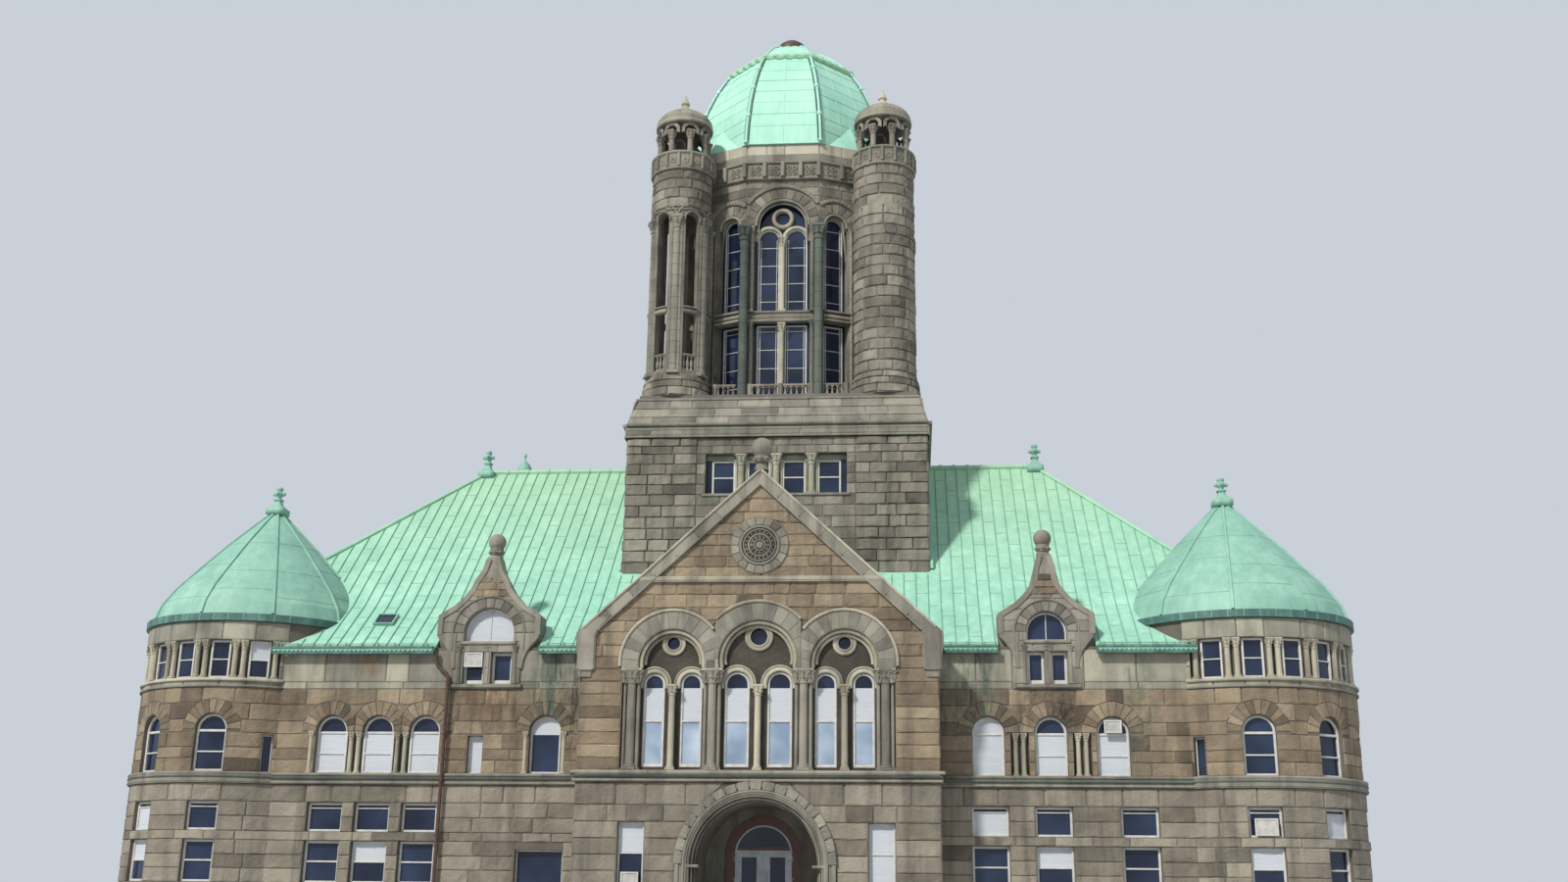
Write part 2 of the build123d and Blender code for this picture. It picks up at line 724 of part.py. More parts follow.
def dormer_front(i, place):
    """The gable's outline sweeps from the kneelers up to the neck of its ball."""
    x, wide, lunette = dormer_x[i], dormer_kneeler[i], dormer_lunette[i]
    neck = 105.0
    half_side = [(dormer_jamb - fit, dormer_foot), (dormer_jamb - fit, eave), (wide, 5400), (wide, 5775),
                 (wide - 285, 5925), (wide - 585, 6255), (190, 6615), (neck, 6915)]
    outline = polygon([(x + a, b) for a, b in half_side] + [(x - a, b) for a, b in reversed(half_side)])
    front = upright(outline, -dormer_out, wall)
    openings.cutters = []
    pair = lunette * 0.56
    for s in (-1, 1):
        openings.flat(place, x + s * pair, lunette * 0.42, dormer_sill, dormer_head, "third")
    openings.arch(place, x, lunette, lunette_foot, lunette_spring, lunette, "third")
    return place * front - openings.cutters


for place in (front_side, rear_side):
    for i in range(2):
        dormers.append(dormer_front(i, place))
        ball_at = place * Location((dormer_x[i], (wall - dormer_out) / 2, 0))
        finials.append(ball_finial(ball_at.position.X, ball_at.position.Y, 6915 + fit, 85, 7225, 165))
save("dormer_fronts", dormers)
save("ball_finials", finials)

# Round towers: arcs of masonry between the windows, and a recessed band of windows at the top
def round_tower(centre, mirror):
    """The two lower storeys are open towards the block, and the top storey is a whole ring."""
    arcs = []
    start, end = tower_span(centre)
    gap = degrees(joint / round_radius) / 2
    openings.cutters = []
    for angle in tower_windows_at:
        openings.upper(round_facade(centre, turn_to(angle, mirror)), 0)
        openings.pair(round_facade(centre, turn_to(angle, mirror)), 0, half_up)
    slit = round_facade(centre, turn_to(slit_angle, mirror))
    openings.flat(slit, 0, slit_half * 0.7, sill_up, slit_head, "second")
    breaks = [start] + [angle + window_pitch / 2 for angle in tower_windows_at] + [end]
    sill_level = third_sill - sill_depth
    for high, low in zip(breaks, breaks[1:]):
        span = sorted((turn_to(high - gap, mirror), turn_to(low + gap, mirror)))
        arcs.append(arc_wall(centre, *span, plinth_top, sill_level - fit) - openings.cutters)
    openings.cutters = []
    band = Circle(round_radius + 50) - Circle(round_radius - post_recess)
    openings.cutters.append(Pos(centre, round_y, third_sill) * extrude(band, amount=third_head - third_sill))
    pitch = 360 / top_windows
    glazed = [(first_window + k * pitch + 300) % 360 - 300 for k in range(top_windows)]
    glazed = sorted(angle for angle in glazed if end + roof_margin < angle < start - roof_margin)
    for angle in glazed:
        window_place = round_facade(centre, turn_to(angle, mirror))
        openings.flat(window_place, 0, third_half, third_sill, third_head, "third")
        post_place = round_facade(centre, turn_to(angle - pitch / 2, mirror))
        for s in (-1, 1):
            wall_posts.append(colonnette(post_place, s * 66, post_recess / 2, third_sill + fit,
                                         third_head - fit, thin))
    sectors = [(angle - pitch / 2 + gap, angle + pitch / 2 - gap) for angle in glazed]
    sectors.append((glazed[-1] + pitch / 2 + gap, glazed[0] - pitch / 2 - gap + 360))
    for low, high in sectors:
        span = sorted((turn_to(low, mirror), turn_to(high, mirror)))
        arcs.append(arc_wall(centre, *span, sill_level, round_top) - openings.cutters)
    return arcs


save("left_tower_wall", round_tower(left_round, -1))
save("right_tower_wall", round_tower(right_round, 1))

for storey in ("first", "second", "third"):
    save(storey + "_storey_windows", openings.sashes[storey])


def cone_profile(lift=0.0):
    """The bulging slope of a round tower's roof, from the eave to the apex."""
    high = cone_apex - cone_foot
    shares = ((1.0, 0.0), (0.965, 0.1), (0.845, 0.25), (0.635, 0.45), (0.42, 0.65), (0.185, 0.85))
    return [(cone_eave * r, cone_foot + high * z + lift) for r, z in shares]


cone_shell, cone_bodies = [], []
for centre in (left_round, right_round):
    outer = cone_profile()
    body = turned(outer + [(0, cone_apex), (0, cone_foot)], centre, round_y)
    hollow = turned(cone_profile(-roof_depth) + [(0, cone_apex - roof_depth), (0, cone_foot - 2 * roof_depth)],
                    centre, round_y)
    cone_bodies.append(body)
    cone_shell.append(body - hollow - tube(centre, round_y, round_radius + fit, 0, round_top))


# Main roof: a hipped solid whose sections shrink along straight hips in plan, bell-cast at the eaves
eave_left, eave_right = left_face - roof_out, right_face + roof_out
eave_front, eave_rear = wing_front - roof_out, rear_face + roof_out


def roof_level(share):
    x0 = eave_left + (ridge_left - eave_left) * share
    x1 = eave_right + (ridge_right - eave_right) * share
    y0 = eave_front + (tower_axis - eave_front) * share
    return x0, x1, y0, 2 * tower_axis - y0


def roof_body(drop):
    """The hipped solid under the roof's surface, lowered by a drop."""
    high = ridge_z - eave
    sections = [(0, 0), (bell_share, bell_rise), (0.995, 0.995)]
    faces = []
    for share, climb in sections:
        x0, x1, y0, y1 = roof_level(share)
        place = Pos((x0 + x1) / 2, (y0 + y1) / 2, eave + high * climb - drop)
        faces.append(place * Rectangle(x1 - x0, y1 - y0))
    return loft(faces, ruled=True)


main_body = roof_body(0)
wall_room = extrude(footprint(fit), amount=eave + fit)
shell = main_body - roof_body(roof_depth) - wall_room
pavilion_eave = pavilion_half + roof_out
pavilion_body = upright(polygon([(-pavilion_eave, eave), (pavilion_eave, eave), (0, pavilion_ridge)]),
                        wall + fit, tower_axis)
pavilion_void = upright(polygon([(-pavilion_eave, eave - roof_depth), (pavilion_eave, eave - roof_depth),
                                 (0, pavilion_ridge - roof_depth)]), 0, tower_axis + 1)
tower_room_box = box(-tower_half - fit, tower_half + fit, tower_axis - tower_half - fit,
                     tower_axis + tower_half + fit, 0, cornice_high)
dormer_bodies, dormer_voids = [], []
for place in (front_side, rear_side):
    for i in range(2):
        x = dormer_x[i]
        half = dormer_kneeler[i] - 150
        low = eave + joint

        def gable_prism(drop, x=x, half=half, low=low):
            points = [(x - half, low), (x + half, low), (x + half, dormer_roof_eave - drop),
                      (x, dormer_roof_ridge - drop), (x - half, dormer_roof_eave - drop)]
            return upright(polygon(points), wall + fit, tower_axis)
        body = gable_prism(0)
        void = gable_prism(roof_depth / 2) & box(x - half + 60, x + half - 60, -500, 9000, 0, 9000)
        dormer_bodies.append(place * body)
        dormer_voids.append(place * void)
dormer_front_room = []
for place in (front_side, rear_side):
    for x, half in zip(dormer_x, dormer_kneeler):
        dormer_front_room.append(place * box(x - half - fit, x + half + fit, -500, wall + fit, 0, 6915))
small_roofs = [(body - void) - main_body for body, void in zip(dormer_bodies, dormer_voids)]

cylinders = [tube(x, round_y, round_radius + fit, 0, round_top + fit) for x in (left_round, right_round)]
kneeler_reach = pavilion_half + kneeler_out + fit
pavilion_front_room = box(-kneeler_reach, kneeler_reach, -500, wall + fit, 0, gable_apex)
cornice_reach = tower_half + cornice_out + fit
cornice_room = box(-cornice_reach, cornice_reach, tower_axis - cornice_reach, tower_axis + cornice_reach,
                   cornice_low - fit, ridge_z + 1)
shell = shell - corner_room(roof_out, 0, ridge_z) - cornice_room
shell = shell - pavilion_body - tower_room_box - cylinders - cone_bodies - dormer_voids - dormer_front_room
shell -= pavilion_front_room
past_left, past_right = eave_left - 1, eave_right + 1
left_plan = polygon([(past_left, eave_front - 1), (ridge_left, tower_axis), (past_left, eave_rear + 1)])
right_plan = polygon([(past_right, eave_front - 1), (ridge_right, tower_axis), (past_right, eave_rear + 1)])
left_end = extrude(left_plan, amount=ridge_z + 100)
right_end = extrude(right_plan, amount=ridge_z + 100)
front_half = box(eave_left - 1, eave_right + 1, eave_front - 1, tower_axis, 0, ridge_z + 100)
rear_half = box(eave_left - 1, eave_right + 1, tower_axis, eave_rear + 1, 0, ridge_z + 100)
save("end_roofs", shell & left_end, shell & right_end)
middle = shell - left_end - right_end
save("front_roof", middle & front_half)
save("rear_roof", middle & rear_half)
save("cone_roofs", [cone - main_body for cone in cone_shell])

# Gutters: rings round the cones and straight troughs between the gables, cut where they meet the stone
back = -roof_out + gutter_wall
trough = [(-gutter_out, gutter_low), (back, gutter_low), (back, gutter_high), (back - gutter_wall, gutter_high),
          (back - gutter_wall, gutter_low + gutter_wall), (-gutter_out + gutter_wall, gutter_low + gutter_wall),
          (-gutter_out + gutter_wall, gutter_high), (-gutter_out, gutter_high)]


def gutter_run(place, x0, x1):
    """A straight trough along the eaves; x0 and x1 are measured along the wall's place."""
    section = Plane(origin=(x0, 0, 0), x_dir=(0, 1, 0), z_dir=(1, 0, 0)) * polygon(trough)
    return place * extrude(section, amount=x1 - x0)


cone_reach = cone_gutter + 5
kneelers_at = [(dormer_x[i] - dormer_kneeler[i] - fit, dormer_x[i] + dormer_kneeler[i] + fit) for i in range(2)]
pavilion_edge = pavilion_half + kneeler_out + fit
rear_end = rear_face - back
runs = [(front_side, left_round, kneelers_at[0][0]),
        (front_side, kneelers_at[0][1], -pavilion_edge),
        (front_side, pavilion_edge, kneelers_at[1][0]),
        (front_side, kneelers_at[1][1], right_round),
        (left_side, tower_axis - rear_end, tower_axis - round_y),
        (right_side, round_y - tower_axis, rear_end - tower_axis),
        (rear_side, -right_face - gutter_out, -kneelers_at[1][1]),
        (rear_side, -kneelers_at[1][0], -kneelers_at[0][1]),
        (rear_side, -kneelers_at[0][0], -left_face + gutter_out)]
cone_rooms = [tube(x, round_y, cone_reach, 0, ridge_z) for x in (left_round, right_round)]
gutters = [gutter_run(*run) - cone_rooms for run in runs]
for centre in (left_round, right_round):
    inner = round_radius + fit
    lip, bed = cone_gutter - gutter_wall, cone_gutter_low + gutter_wall
    ring = turned([(inner, cone_gutter_low), (cone_gutter, cone_gutter_low), (cone_gutter, cone_gutter_high),
                   (lip, cone_gutter_high), (lip, bed), (inner, bed)], centre, round_y)
    gutters.append(ring - main_body)
save("gutters", gutters)
pavilion_shell = pavilion_body - pavilion_void - main_body - tower_room_box - wall_room
save("gable_roofs", pavilion_shell, small_roofs)


# Copper finials at the ends of the ridge and on the cones, and a domed ventilator between them
def roof_finial(x, y, foot, height, base):
    """A flared foot, a slim neck with a collar and a small ball."""
    profile = [(0, foot - base * 0.8), (base, foot - base * 0.8), (base * 0.45, foot + height * 0.15),
               (base * 0.25, foot + height * 0.3), (base * 0.25, foot + height * 0.55),
               (base * 0.7, foot + height * 0.66), (base * 0.7, foot + height * 0.74),
               (base * 0.3, foot + height * 0.78), (base * 0.36, foot + height * 0.9), (0, foot + height)]
    return turned(profile, x, y)


roof_seat = roof_body(-fit)
tops = [roof_finial(x, tower_axis, ridge_z, 540, 150) - roof_seat for x in (ridge_left, ridge_right)]
for x in (left_round, right_round):
    cone_seat = turned(cone_profile(fit) + [(0, cone_apex + fit), (0, cone_foot)], x, round_y)
    tops.append(roof_finial(x, round_y, cone_apex, 480, 150) - cone_seat)
vent_x, vent_y = ridge_left + 760, tower_axis + 330
vent_profile = [(130, -600), (130, 190), (160, 210), (130, 320), (50, 400), (20, 420)]
vent = turned([(0, ridge_z - 600)] + [(r, ridge_z + z) for r, z in vent_profile] + [(0, ridge_z + 560)],
              vent_x, vent_y)
tops.append(vent - roof_seat)
save("roof_finials", tops)

# Great tower: four walls over the piers, with a band of windows in each face
near_y, far_y = tower_axis - tower_half, tower_axis + tower_half


def tower_face(k):
    """The place of one face of the tower, counted round from the front."""
    a = radians(-90 + 90 * k)
    return facade(tower_half * cos(a), tower_axis + tower_half * sin(a), 90 * k)


tower_sashes, tower_walls = [], []
for k in range(4):
    place = tower_face(k)
    half = tower_half if k % 2 == 0 else tower_half - wall - fit
    panel = box(-half, half, 0, wall, tower_low, cornice_low)
    panel -= upright(flat_topped(0, band_half, band_low, band_high), -100, deep)
    tower_walls.append(place * panel)
    pitch = band_half / 2
    for i in range(4):
        x = -band_half + pitch * (i + 0.5)
        plate = upright(flat_topped(x, pitch / 2 - fit, band_low + fit, band_high - fit), 190, 190 + glass)
        tower_sashes.append(place * plate)
    for i in range(1, 4):
        for s in (-1, 1):
            x = -band_half + pitch * i + s * 62
            wall_posts.append(colonnette(place, x, 90, band_low + fit, band_high - fit, thin))
save("tower_base_walls", tower_walls)
save("wall_colonnettes", wall_posts)


def square_slab(half, z0, z1, taper_to=None):
    if taper_to is None:
        return box(-half, half, tower_axis - half, tower_axis + half, z0, z1)
    lower = Pos(0, tower_axis, z0) * Rectangle(2 * half, 2 * half)
    upper = Pos(0, tower_axis, z1) * Rectangle(2 * taper_to, 2 * taper_to)
    return loft([lower, upper], ruled=True)


deck_half = 2350.0
offset_half = 2900.0
well = square_slab(deck_half, cornice_low - 1, lantern_floor + 1)
cornice = square_slab(tower_half + cornice_out, cornice_low, cornice_high)
weathering = square_slab(tower_half + cornice_out - 20, cornice_high, lantern_foot, offset_half)
save("tower_cornice", cornice + weathering - well)

# Lantern: a ring of twelve walls, square on and canted, each with its tall arch
f, h, c = lantern_face, lantern_face_half, lantern_corner
quarter = [(-h, -f), (h, -f), (c, -c)]
ring_points = []
for k in range(4):
    a = radians(90 * k)
    ring_points += [(x * cos(a) - y * sin(a), x * sin(a) + y * cos(a)) for x, y in quarter]
lantern_plan = polygon(ring_points)


def grown(amount):
    return offset(lantern_plan, amount=amount, kind=Kind.INTERSECTION)


def lantern_ring(out, inward, z0, z1):
    ring_face = (grown(out) if out else lantern_plan) - grown(-inward)
    return Pos(0, tower_axis, z0) * extrude(ring_face, amount=z1 - z0)


def lantern_face_place(i):
    """The place of one of the twelve walls: its middle, with local y inward."""
    (x0, y0), (x1, y1) = ring_points[i], ring_points[(i + 1) % 12]
    return facade((x0 + x1) / 2, tower_axis + (y0 + y1) / 2, degrees(atan2(y1 - y0, x1 - x0)))


seams = []
for x, y in ring_points:
    a = degrees(atan2(y, x))
    blade = Pos(1900, 0, 14000) * Box(2000, joint, 9000)
    seams.append(Pos(0, tower_axis, 0) * Rot(0, 0, a) * blade)
walls = lantern_ring(0, lantern_wall, lantern_foot, lantern_top)
cutters = []
bar_low, bar_high = 12700.0, 12900.0
for i in range(12):
    place = lantern_face_place(i)
    half, spring = (main_half, main_spring) if i % 3 == 0 else (canted_half, canted_spring)
    shift = (0, -canted_shift, canted_shift)[i % 3]
    cut = upright(arched(shift, half, lantern_floor, spring, half), -200, lantern_wall + 200)
    bar = box(-half - 200, half + 200, -300, lantern_wall + 300, bar_low, bar_high)
    cutters.append(place * (cut - bar))
    plate = upright(arched(shift, half - fit, lantern_floor + fit, spring, half - fit), lantern_reveal,
                    lantern_reveal + glass)
    tower_sashes.append(place * (plate - box(-half - 200, half + 200, 0, 400, bar_low - fit, bar_high + fit)))
save("lantern_walls", walls - cutters - seams)
save("tower_windows", tower_sashes)
frieze = lantern_ring(frieze_out, lantern_wall, lantern_top, frieze_top)
plain_band = lantern_ring(frieze_out - 40, lantern_wall, frieze_top, band_top)
save("lantern_frieze", (frieze + plain_band) - seams)

# Columns at the corners of the lantern, and the balustrade between them
tall = 100.0
slender = 60.0
canted_column = 270.0
columns, column_room = [], []
for k in range(4):
    for s in (-1, 1):
        columns.append(colonnette(lantern_face_place(3 * k), s * (h + 10), -tall * 1.45 - fit,
                                  lantern_floor + fit, main_spring - 100, tall))
        canted = lantern_face_place((3 * k + s) % 12)
        columns.append(colonnette(canted, s * canted_column, -slender * 1.45 - fit, lantern_floor + fit,
                                  canted_spring, slender))
        side = slender * 1.45 + 2 * fit
        column_room.append(canted * box(s * canted_column - side, s * canted_column + side, -2 * side, 0,
                                        lantern_floor, canted_spring))

rails = []
bays = [(-h - 570, -h - 150, 3), (-h + 150, h - 150, 7), (h + 150, h + 570, 3)]
for k in range(4):
    place = lantern_face_place(3 * k)
    for x0, x1, count in bays:
        rail = box(x0, x1, -130, -60, rail_top - 60, rail_top)
        rail += box(x0, x1, -130, -60, lantern_floor + fit, lantern_floor + 50)
        step = (x1 - x0 - 100) / (count - 1)
        for i in range(count):
            x = x0 + 50 + i * step
            rail += box(x - 28, x + 28, -120, -70, lantern_floor + 40, rail_top - 30)
        rails.append(place * rail)
save("balustrade", rails)
deck = Pos(0, tower_axis, lantern_foot) * extrude(Rectangle(2 * offset_half - 40, 2 * offset_half - 40),
                                                  amount=lantern_floor - lantern_foot)
deck_hole = Pos(0, tower_axis, lantern_foot) * extrude(grown(0.5), amount=lantern_floor - lantern_foot)
save("tower_floors",
     square_slab(tower_half - wall - fit, tower_room - floor_depth, tower_room),
     square_slab(deck_half - fit, lantern_foot - floor_depth, lantern_foot - fit),
     deck - deck_hole)

# Turrets: the front left one is open between tall piers, and the others are closed. The caps swell like
# a bell: each pair is a share of the turret's radius and a share of the cap's height.
shafts, caps = [], []
cap_shares = ((0.985, 0.0), (0.985, 0.16), (0.94, 0.31), (0.83, 0.47), (0.655, 0.6), (0.44, 0.69),
              (0.19, 0.74), (0.125, 0.78), (0.06, 1.0))
cap_bed = turret_cap + fit
cap_profile = [(turret_radius * r, cap_bed + (turret_crown - cap_bed) * z) for r, z in cap_shares]
for sx, sy in ((-1, -1), (1, -1), (-1, 1), (1, 1)):
    x, y = sx * turret_at, tower_axis + sy * turret_at
    head = turret_radius + 40
    shaft = turned([(0, lantern_floor + fit), (turret_flare, lantern_floor + fit),
                    (turret_flare - 40, turret_waist - 150), (turret_radius, turret_waist),
                    (turret_radius, turret_top - 420), (head, turret_top - 400),
                    (head, turret_top), (0, turret_top)], x, y)
    shaft -= tube(x, y, turret_radius - turret_wall, turret_waist, turret_top - 300)
    if (sx, sy) == (-1, -1):
        for k in range(6):
            slot = Rot(0, 0, 30 + 60 * k) * upright(arched(0, 150, turret_waist + 60, 14850, 150), 300, 900)
            shaft -= Pos(x, y, 0) * slot
    lantern_room = extrude(grown(frieze_out + 2), amount=turret_crown - turret_foot)
    shafts.append(shaft - Pos(0, tower_axis, turret_foot) * lantern_room - column_room)
    for k in range(8):
        a = radians(22.5 + 45 * k)
        reach = turret_radius - 100
        post_place = facade(x + reach * cos(a), y + reach * sin(a), degrees(a) + 90)
        columns.append(colonnette(post_place, 0, 0, turret_top + fit, turret_cap, 70))
    caps.append(turned([(0, cap_bed)] + cap_profile + [(0, turret_crown)], x, y))
save("turret_shafts", shafts)
save("lantern_columns", columns)
save("turret_caps", caps)


# Dome: four elliptical vaults crossing, one through each pair of opposite sides
def dome_size(z):
    return dome_swell * sqrt(max(0.0, 1 - ((z - dome_centre) / dome_rise) ** 2))


def vault(reach, low, shrink):
    """A long prism whose upright section follows the dome's ellipse, as wide as its pair of sides."""
    levels = [low + (dome_centre + dome_rise - shrink - low) * sin(pi / 2 * k / 10) for k in range(11)]
    side = [(reach * dome_size(z + shrink) - shrink * 0.8, z) for z in levels[:-1]]
    side = [(x, z) for x, z in side if x > 0]
    points = [(-x, z) for x, z in side] + [(0, levels[-1])] + [(x, z) for x, z in reversed(side)]
    return upright(polygon(points), -3 * f, 3 * f)


def dome_body(shrink):
    low = band_top - (200 if shrink else 0)
    square_reach = f
    canted_reach = (f + h) / sqrt(2)
    body = None
    for k in range(4):
        piece = Rot(0, 0, 45 * k) * vault(square_reach if k % 2 == 0 else canted_reach, low, shrink)
        body = piece if body is None else body & piece
    return Pos(0, tower_axis, 0) * body


octagon = polygon([(-h, -f), (h, -f), (f, -h), (f, h), (h, f), (-h, f), (-f, h), (-f, -h)])
dome_shell = dome_body(0) - dome_body(dome_depth)
dome_shell -= tube(0, tower_axis, cap_radius, dome_top - 300, dome_top + 1000)
save("dome", dome_shell)


def rib(place):
    """A batten over one arris of the dome, bent to the same ellipse."""
    corner = sqrt(f * f + h * h)
    levels = [band_top + 40 + (dome_top - 60 - band_top) * k / 12 for k in range(13)]
    outer = [(corner * dome_size(z) + rib_out, z) for z in levels]
    inner = [(corner * dome_size(z) - rib_out, z) for z in reversed(levels)]
    return Pos(0, tower_axis, 0) * place * upright(polygon(outer + inner), -rib_width / 2, rib_width / 2)


solid_dome = dome_body(0)
ribs = None
for k in range(4):
    for corner in ((-h, -f), (h, -f)):
        batten = rib(Rot(0, 0, 90 * k + degrees(atan2(corner[1], corner[0]))))
        ribs = batten if ribs is None else ribs + batten
collar = Pos(0, tower_axis, rib_ring - 50) * extrude(scale(octagon, by=dome_size(rib_ring) + 0.02), amount=100)
save("dome_ribs", (ribs + collar) - solid_dome)
broaches = []
for k in range(4):
    base = polygon([(h, -f), (c, -c), (f, -h), (h, -h)])
    reach = (f + h) / 2 * dome_size(broach_top) - 40
    pyramid = loft([Pos(0, 0, band_top) * base, Vertex(reach, -reach, broach_top)])
    broaches.append(Pos(0, tower_axis, 0) * Rot(0, 0, 90 * k) * pyramid - solid_dome - ribs)
save("broaches", broaches)
plug = cap_radius - fit
button = [(plug, -260), (plug, 60), (340, 80), (340, 200), (300, 300), (200, 380)]
save("dome_cap", turned([(0, dome_top - 260)] + [(r, dome_top + z) for r, z in button] + [(0, dome_top + 400)],
                        0, tower_axis))
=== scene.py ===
# %% [markdown]
# # A granite courthouse with copper roofs
#
# The solids of the building come in as a fixed frame: walls with their openings, floors, roofs, the tower and the
# two door leaves on their hinges. This lesson dresses that frame. Rock-faced blocks are laid course by course over
# the plain walls, wedge stones are set round the arches, seams run up the copper, sashes fill the windows, and every
# surface gets a material that is worked out in its own space. One metre here is two metres on the building.

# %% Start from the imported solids
import math

import bpy
import numpy as np
from mathutils import Matrix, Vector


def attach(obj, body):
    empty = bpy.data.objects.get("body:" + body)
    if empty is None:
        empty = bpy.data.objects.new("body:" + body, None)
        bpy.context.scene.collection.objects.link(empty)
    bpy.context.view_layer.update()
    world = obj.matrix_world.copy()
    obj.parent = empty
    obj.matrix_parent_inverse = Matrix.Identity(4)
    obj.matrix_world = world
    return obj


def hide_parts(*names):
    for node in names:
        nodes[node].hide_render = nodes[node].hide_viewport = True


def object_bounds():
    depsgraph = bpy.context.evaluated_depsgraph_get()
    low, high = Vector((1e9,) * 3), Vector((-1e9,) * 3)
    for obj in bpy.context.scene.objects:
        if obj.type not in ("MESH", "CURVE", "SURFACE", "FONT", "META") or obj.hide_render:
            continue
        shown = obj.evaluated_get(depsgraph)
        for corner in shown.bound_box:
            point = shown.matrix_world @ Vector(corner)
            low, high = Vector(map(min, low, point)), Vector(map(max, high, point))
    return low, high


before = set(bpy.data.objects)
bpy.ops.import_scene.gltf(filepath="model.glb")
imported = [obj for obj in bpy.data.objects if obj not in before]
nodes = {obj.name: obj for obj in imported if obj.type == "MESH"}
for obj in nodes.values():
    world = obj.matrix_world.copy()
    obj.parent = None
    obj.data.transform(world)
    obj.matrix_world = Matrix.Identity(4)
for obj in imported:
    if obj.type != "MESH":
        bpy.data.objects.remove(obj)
cad_low, cad_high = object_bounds()
print(len(nodes), "solids, box", [round(v, 2) for v in cad_high - cad_low])

# %% [markdown]
# ## Shared measures
#
# A few positions come back in many steps: the wall faces, the axes of the round towers and the lines of sills and
# eaves. They are written once here, in metres. Reading them off the nodes' boxes would also work for the outer
# faces, but not for an axis or a sill, so plain values keep one style for all.

# %% Measures
WING_Y, REAR_Y, TOWER_Y = 1.05, 11.28, 6.165
LEFT_X, RIGHT_X = -11.8, 10.375
ROUND_X, ROUND_Y, ROUND_R = (-10.21, 8.78), 2.815, 2.13
SILL, SPRING, BAND_FOOT, EAVE = 2.89, 3.65, 4.425, 5.19
ARCADE_SPRING, ROSETTE_Z = 4.65, 6.86
TOWER_HALF, LANTERN_FOOT, LANTERN_SPRING, FRIEZE_Z = 3.055, 10.8, 14.95, 16.22
LEFT_BAYS, LEFT_SINGLE, LEFT_SLIT = (-7.99, -7.11, -6.235), -3.985, -5.275
RIGHT_BAYS, RIGHT_LOW = (4.04, 5.15, 6.24), (4.04, 5.15, 6.64)
SIDE_BAYS = (5.5, 7.4, 9.3)
DORMERS = ((-5.14, 0.98, 0.47), (5.135, 0.875, 0.368))
RIDGE_Z, RIDGE_X = 9.95, (-6.83, 5.47)
print("front from", LEFT_X, "to", RIGHT_X)

# %% [markdown]
# ## Making a mesh from numbers
#
# Each piece below is worked out as arrays of points and faces and put in place in one go. Adding faces one at a time
# is easier to read but slow for thousands of stones, so `build` hands whole arrays to the mesh. A second array can
# carry one number for each point, such as the tone of its stone, for the material to read.

# %% Mesh from arrays
made, slot_of = {}, {}


def build(name, points, faces, material, body="building", slot=None, smooth=False, stands_for=(), **numbers):
    """One mesh object from points (n, 3) and faces (m, 3 or 4), riding on a body.

    Its slot, the given one or else the material's own, is looked up but not set. Extra arrays of n values, given by
    name, become attributes of the points.
    """
    mesh = bpy.data.meshes.new(name)
    points = np.asarray(points, np.float32)
    faces = np.asarray(faces, np.int32)
    mesh.vertices.add(len(points))
    mesh.vertices.foreach_set("co", points.ravel())
    mesh.loops.add(faces.size)
    mesh.loops.foreach_set("vertex_index", faces.ravel())
    mesh.polygons.add(len(faces))
    mesh.polygons.foreach_set("loop_start", np.arange(0, faces.size, faces.shape[1], dtype=np.int32))
    mesh.polygons.foreach_set("loop_total", np.full(len(faces), faces.shape[1], np.int32))
    mesh.polygons.foreach_set("use_smooth", np.full(len(faces), smooth))
    mesh.update(calc_edges=True)
    for key, values in numbers.items():
        attribute = mesh.attributes.new(key, "FLOAT", "POINT")
        attribute.data.foreach_set("value", np.asarray(values, np.float32))
    mesh.validate()
    piece = bpy.data.objects.new(name, mesh)
    bpy.context.scene.collection.objects.link(piece)
    mesh.materials.append(material)
    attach(piece, body)
    slot or slot_of[material.name]
    if stands_for:
        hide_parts(*stands_for)
    made[name] = len(faces) * (faces.shape[1] - 2)
    return piece


def lattice(rows, columns, closed=False, ring=False):
    """Faces of a grid of rows by columns points: (i, j), (i, j+1), (i+1, j+1), (i+1, j).

    Closed grids join their last column to the first, and rings their last row to the first.
    """
    i, j = np.meshgrid(np.arange(rows if ring else rows - 1), np.arange(columns if closed else columns - 1),
                       indexing="ij")
    h, k = (i + 1) % rows, (j + 1) % columns
    return np.stack([i * columns + j, i * columns + k, h * columns + k, h * columns + j], -1).reshape(-1, 4)


def many(points, faces, count):
    """Faces of count copies of one mesh, whose points lie one copy after another."""
    return (faces[None] + (np.arange(count) * points)[:, None, None]).reshape(-1, faces.shape[1])


def join(parts):
    """Several (points, faces) as one."""
    start, all_points, all_faces = 0, [], []
    for points, faces in parts:
        all_points.append(points)
        all_faces.append(faces + start)
        start += len(points)
    return np.concatenate(all_points), np.concatenate(all_faces)


print("mesh helpers ready")

# %% [markdown]
# ## Materials: the node helper
#
# Every finish is a small network over the surface's own coordinates, so it stays put from any side. One helper adds
# nodes and wires them by name, which keeps each finish down to what is special about it: noise for tone, stretched
# noise for the streaks that rain leaves, and bump for the grain.


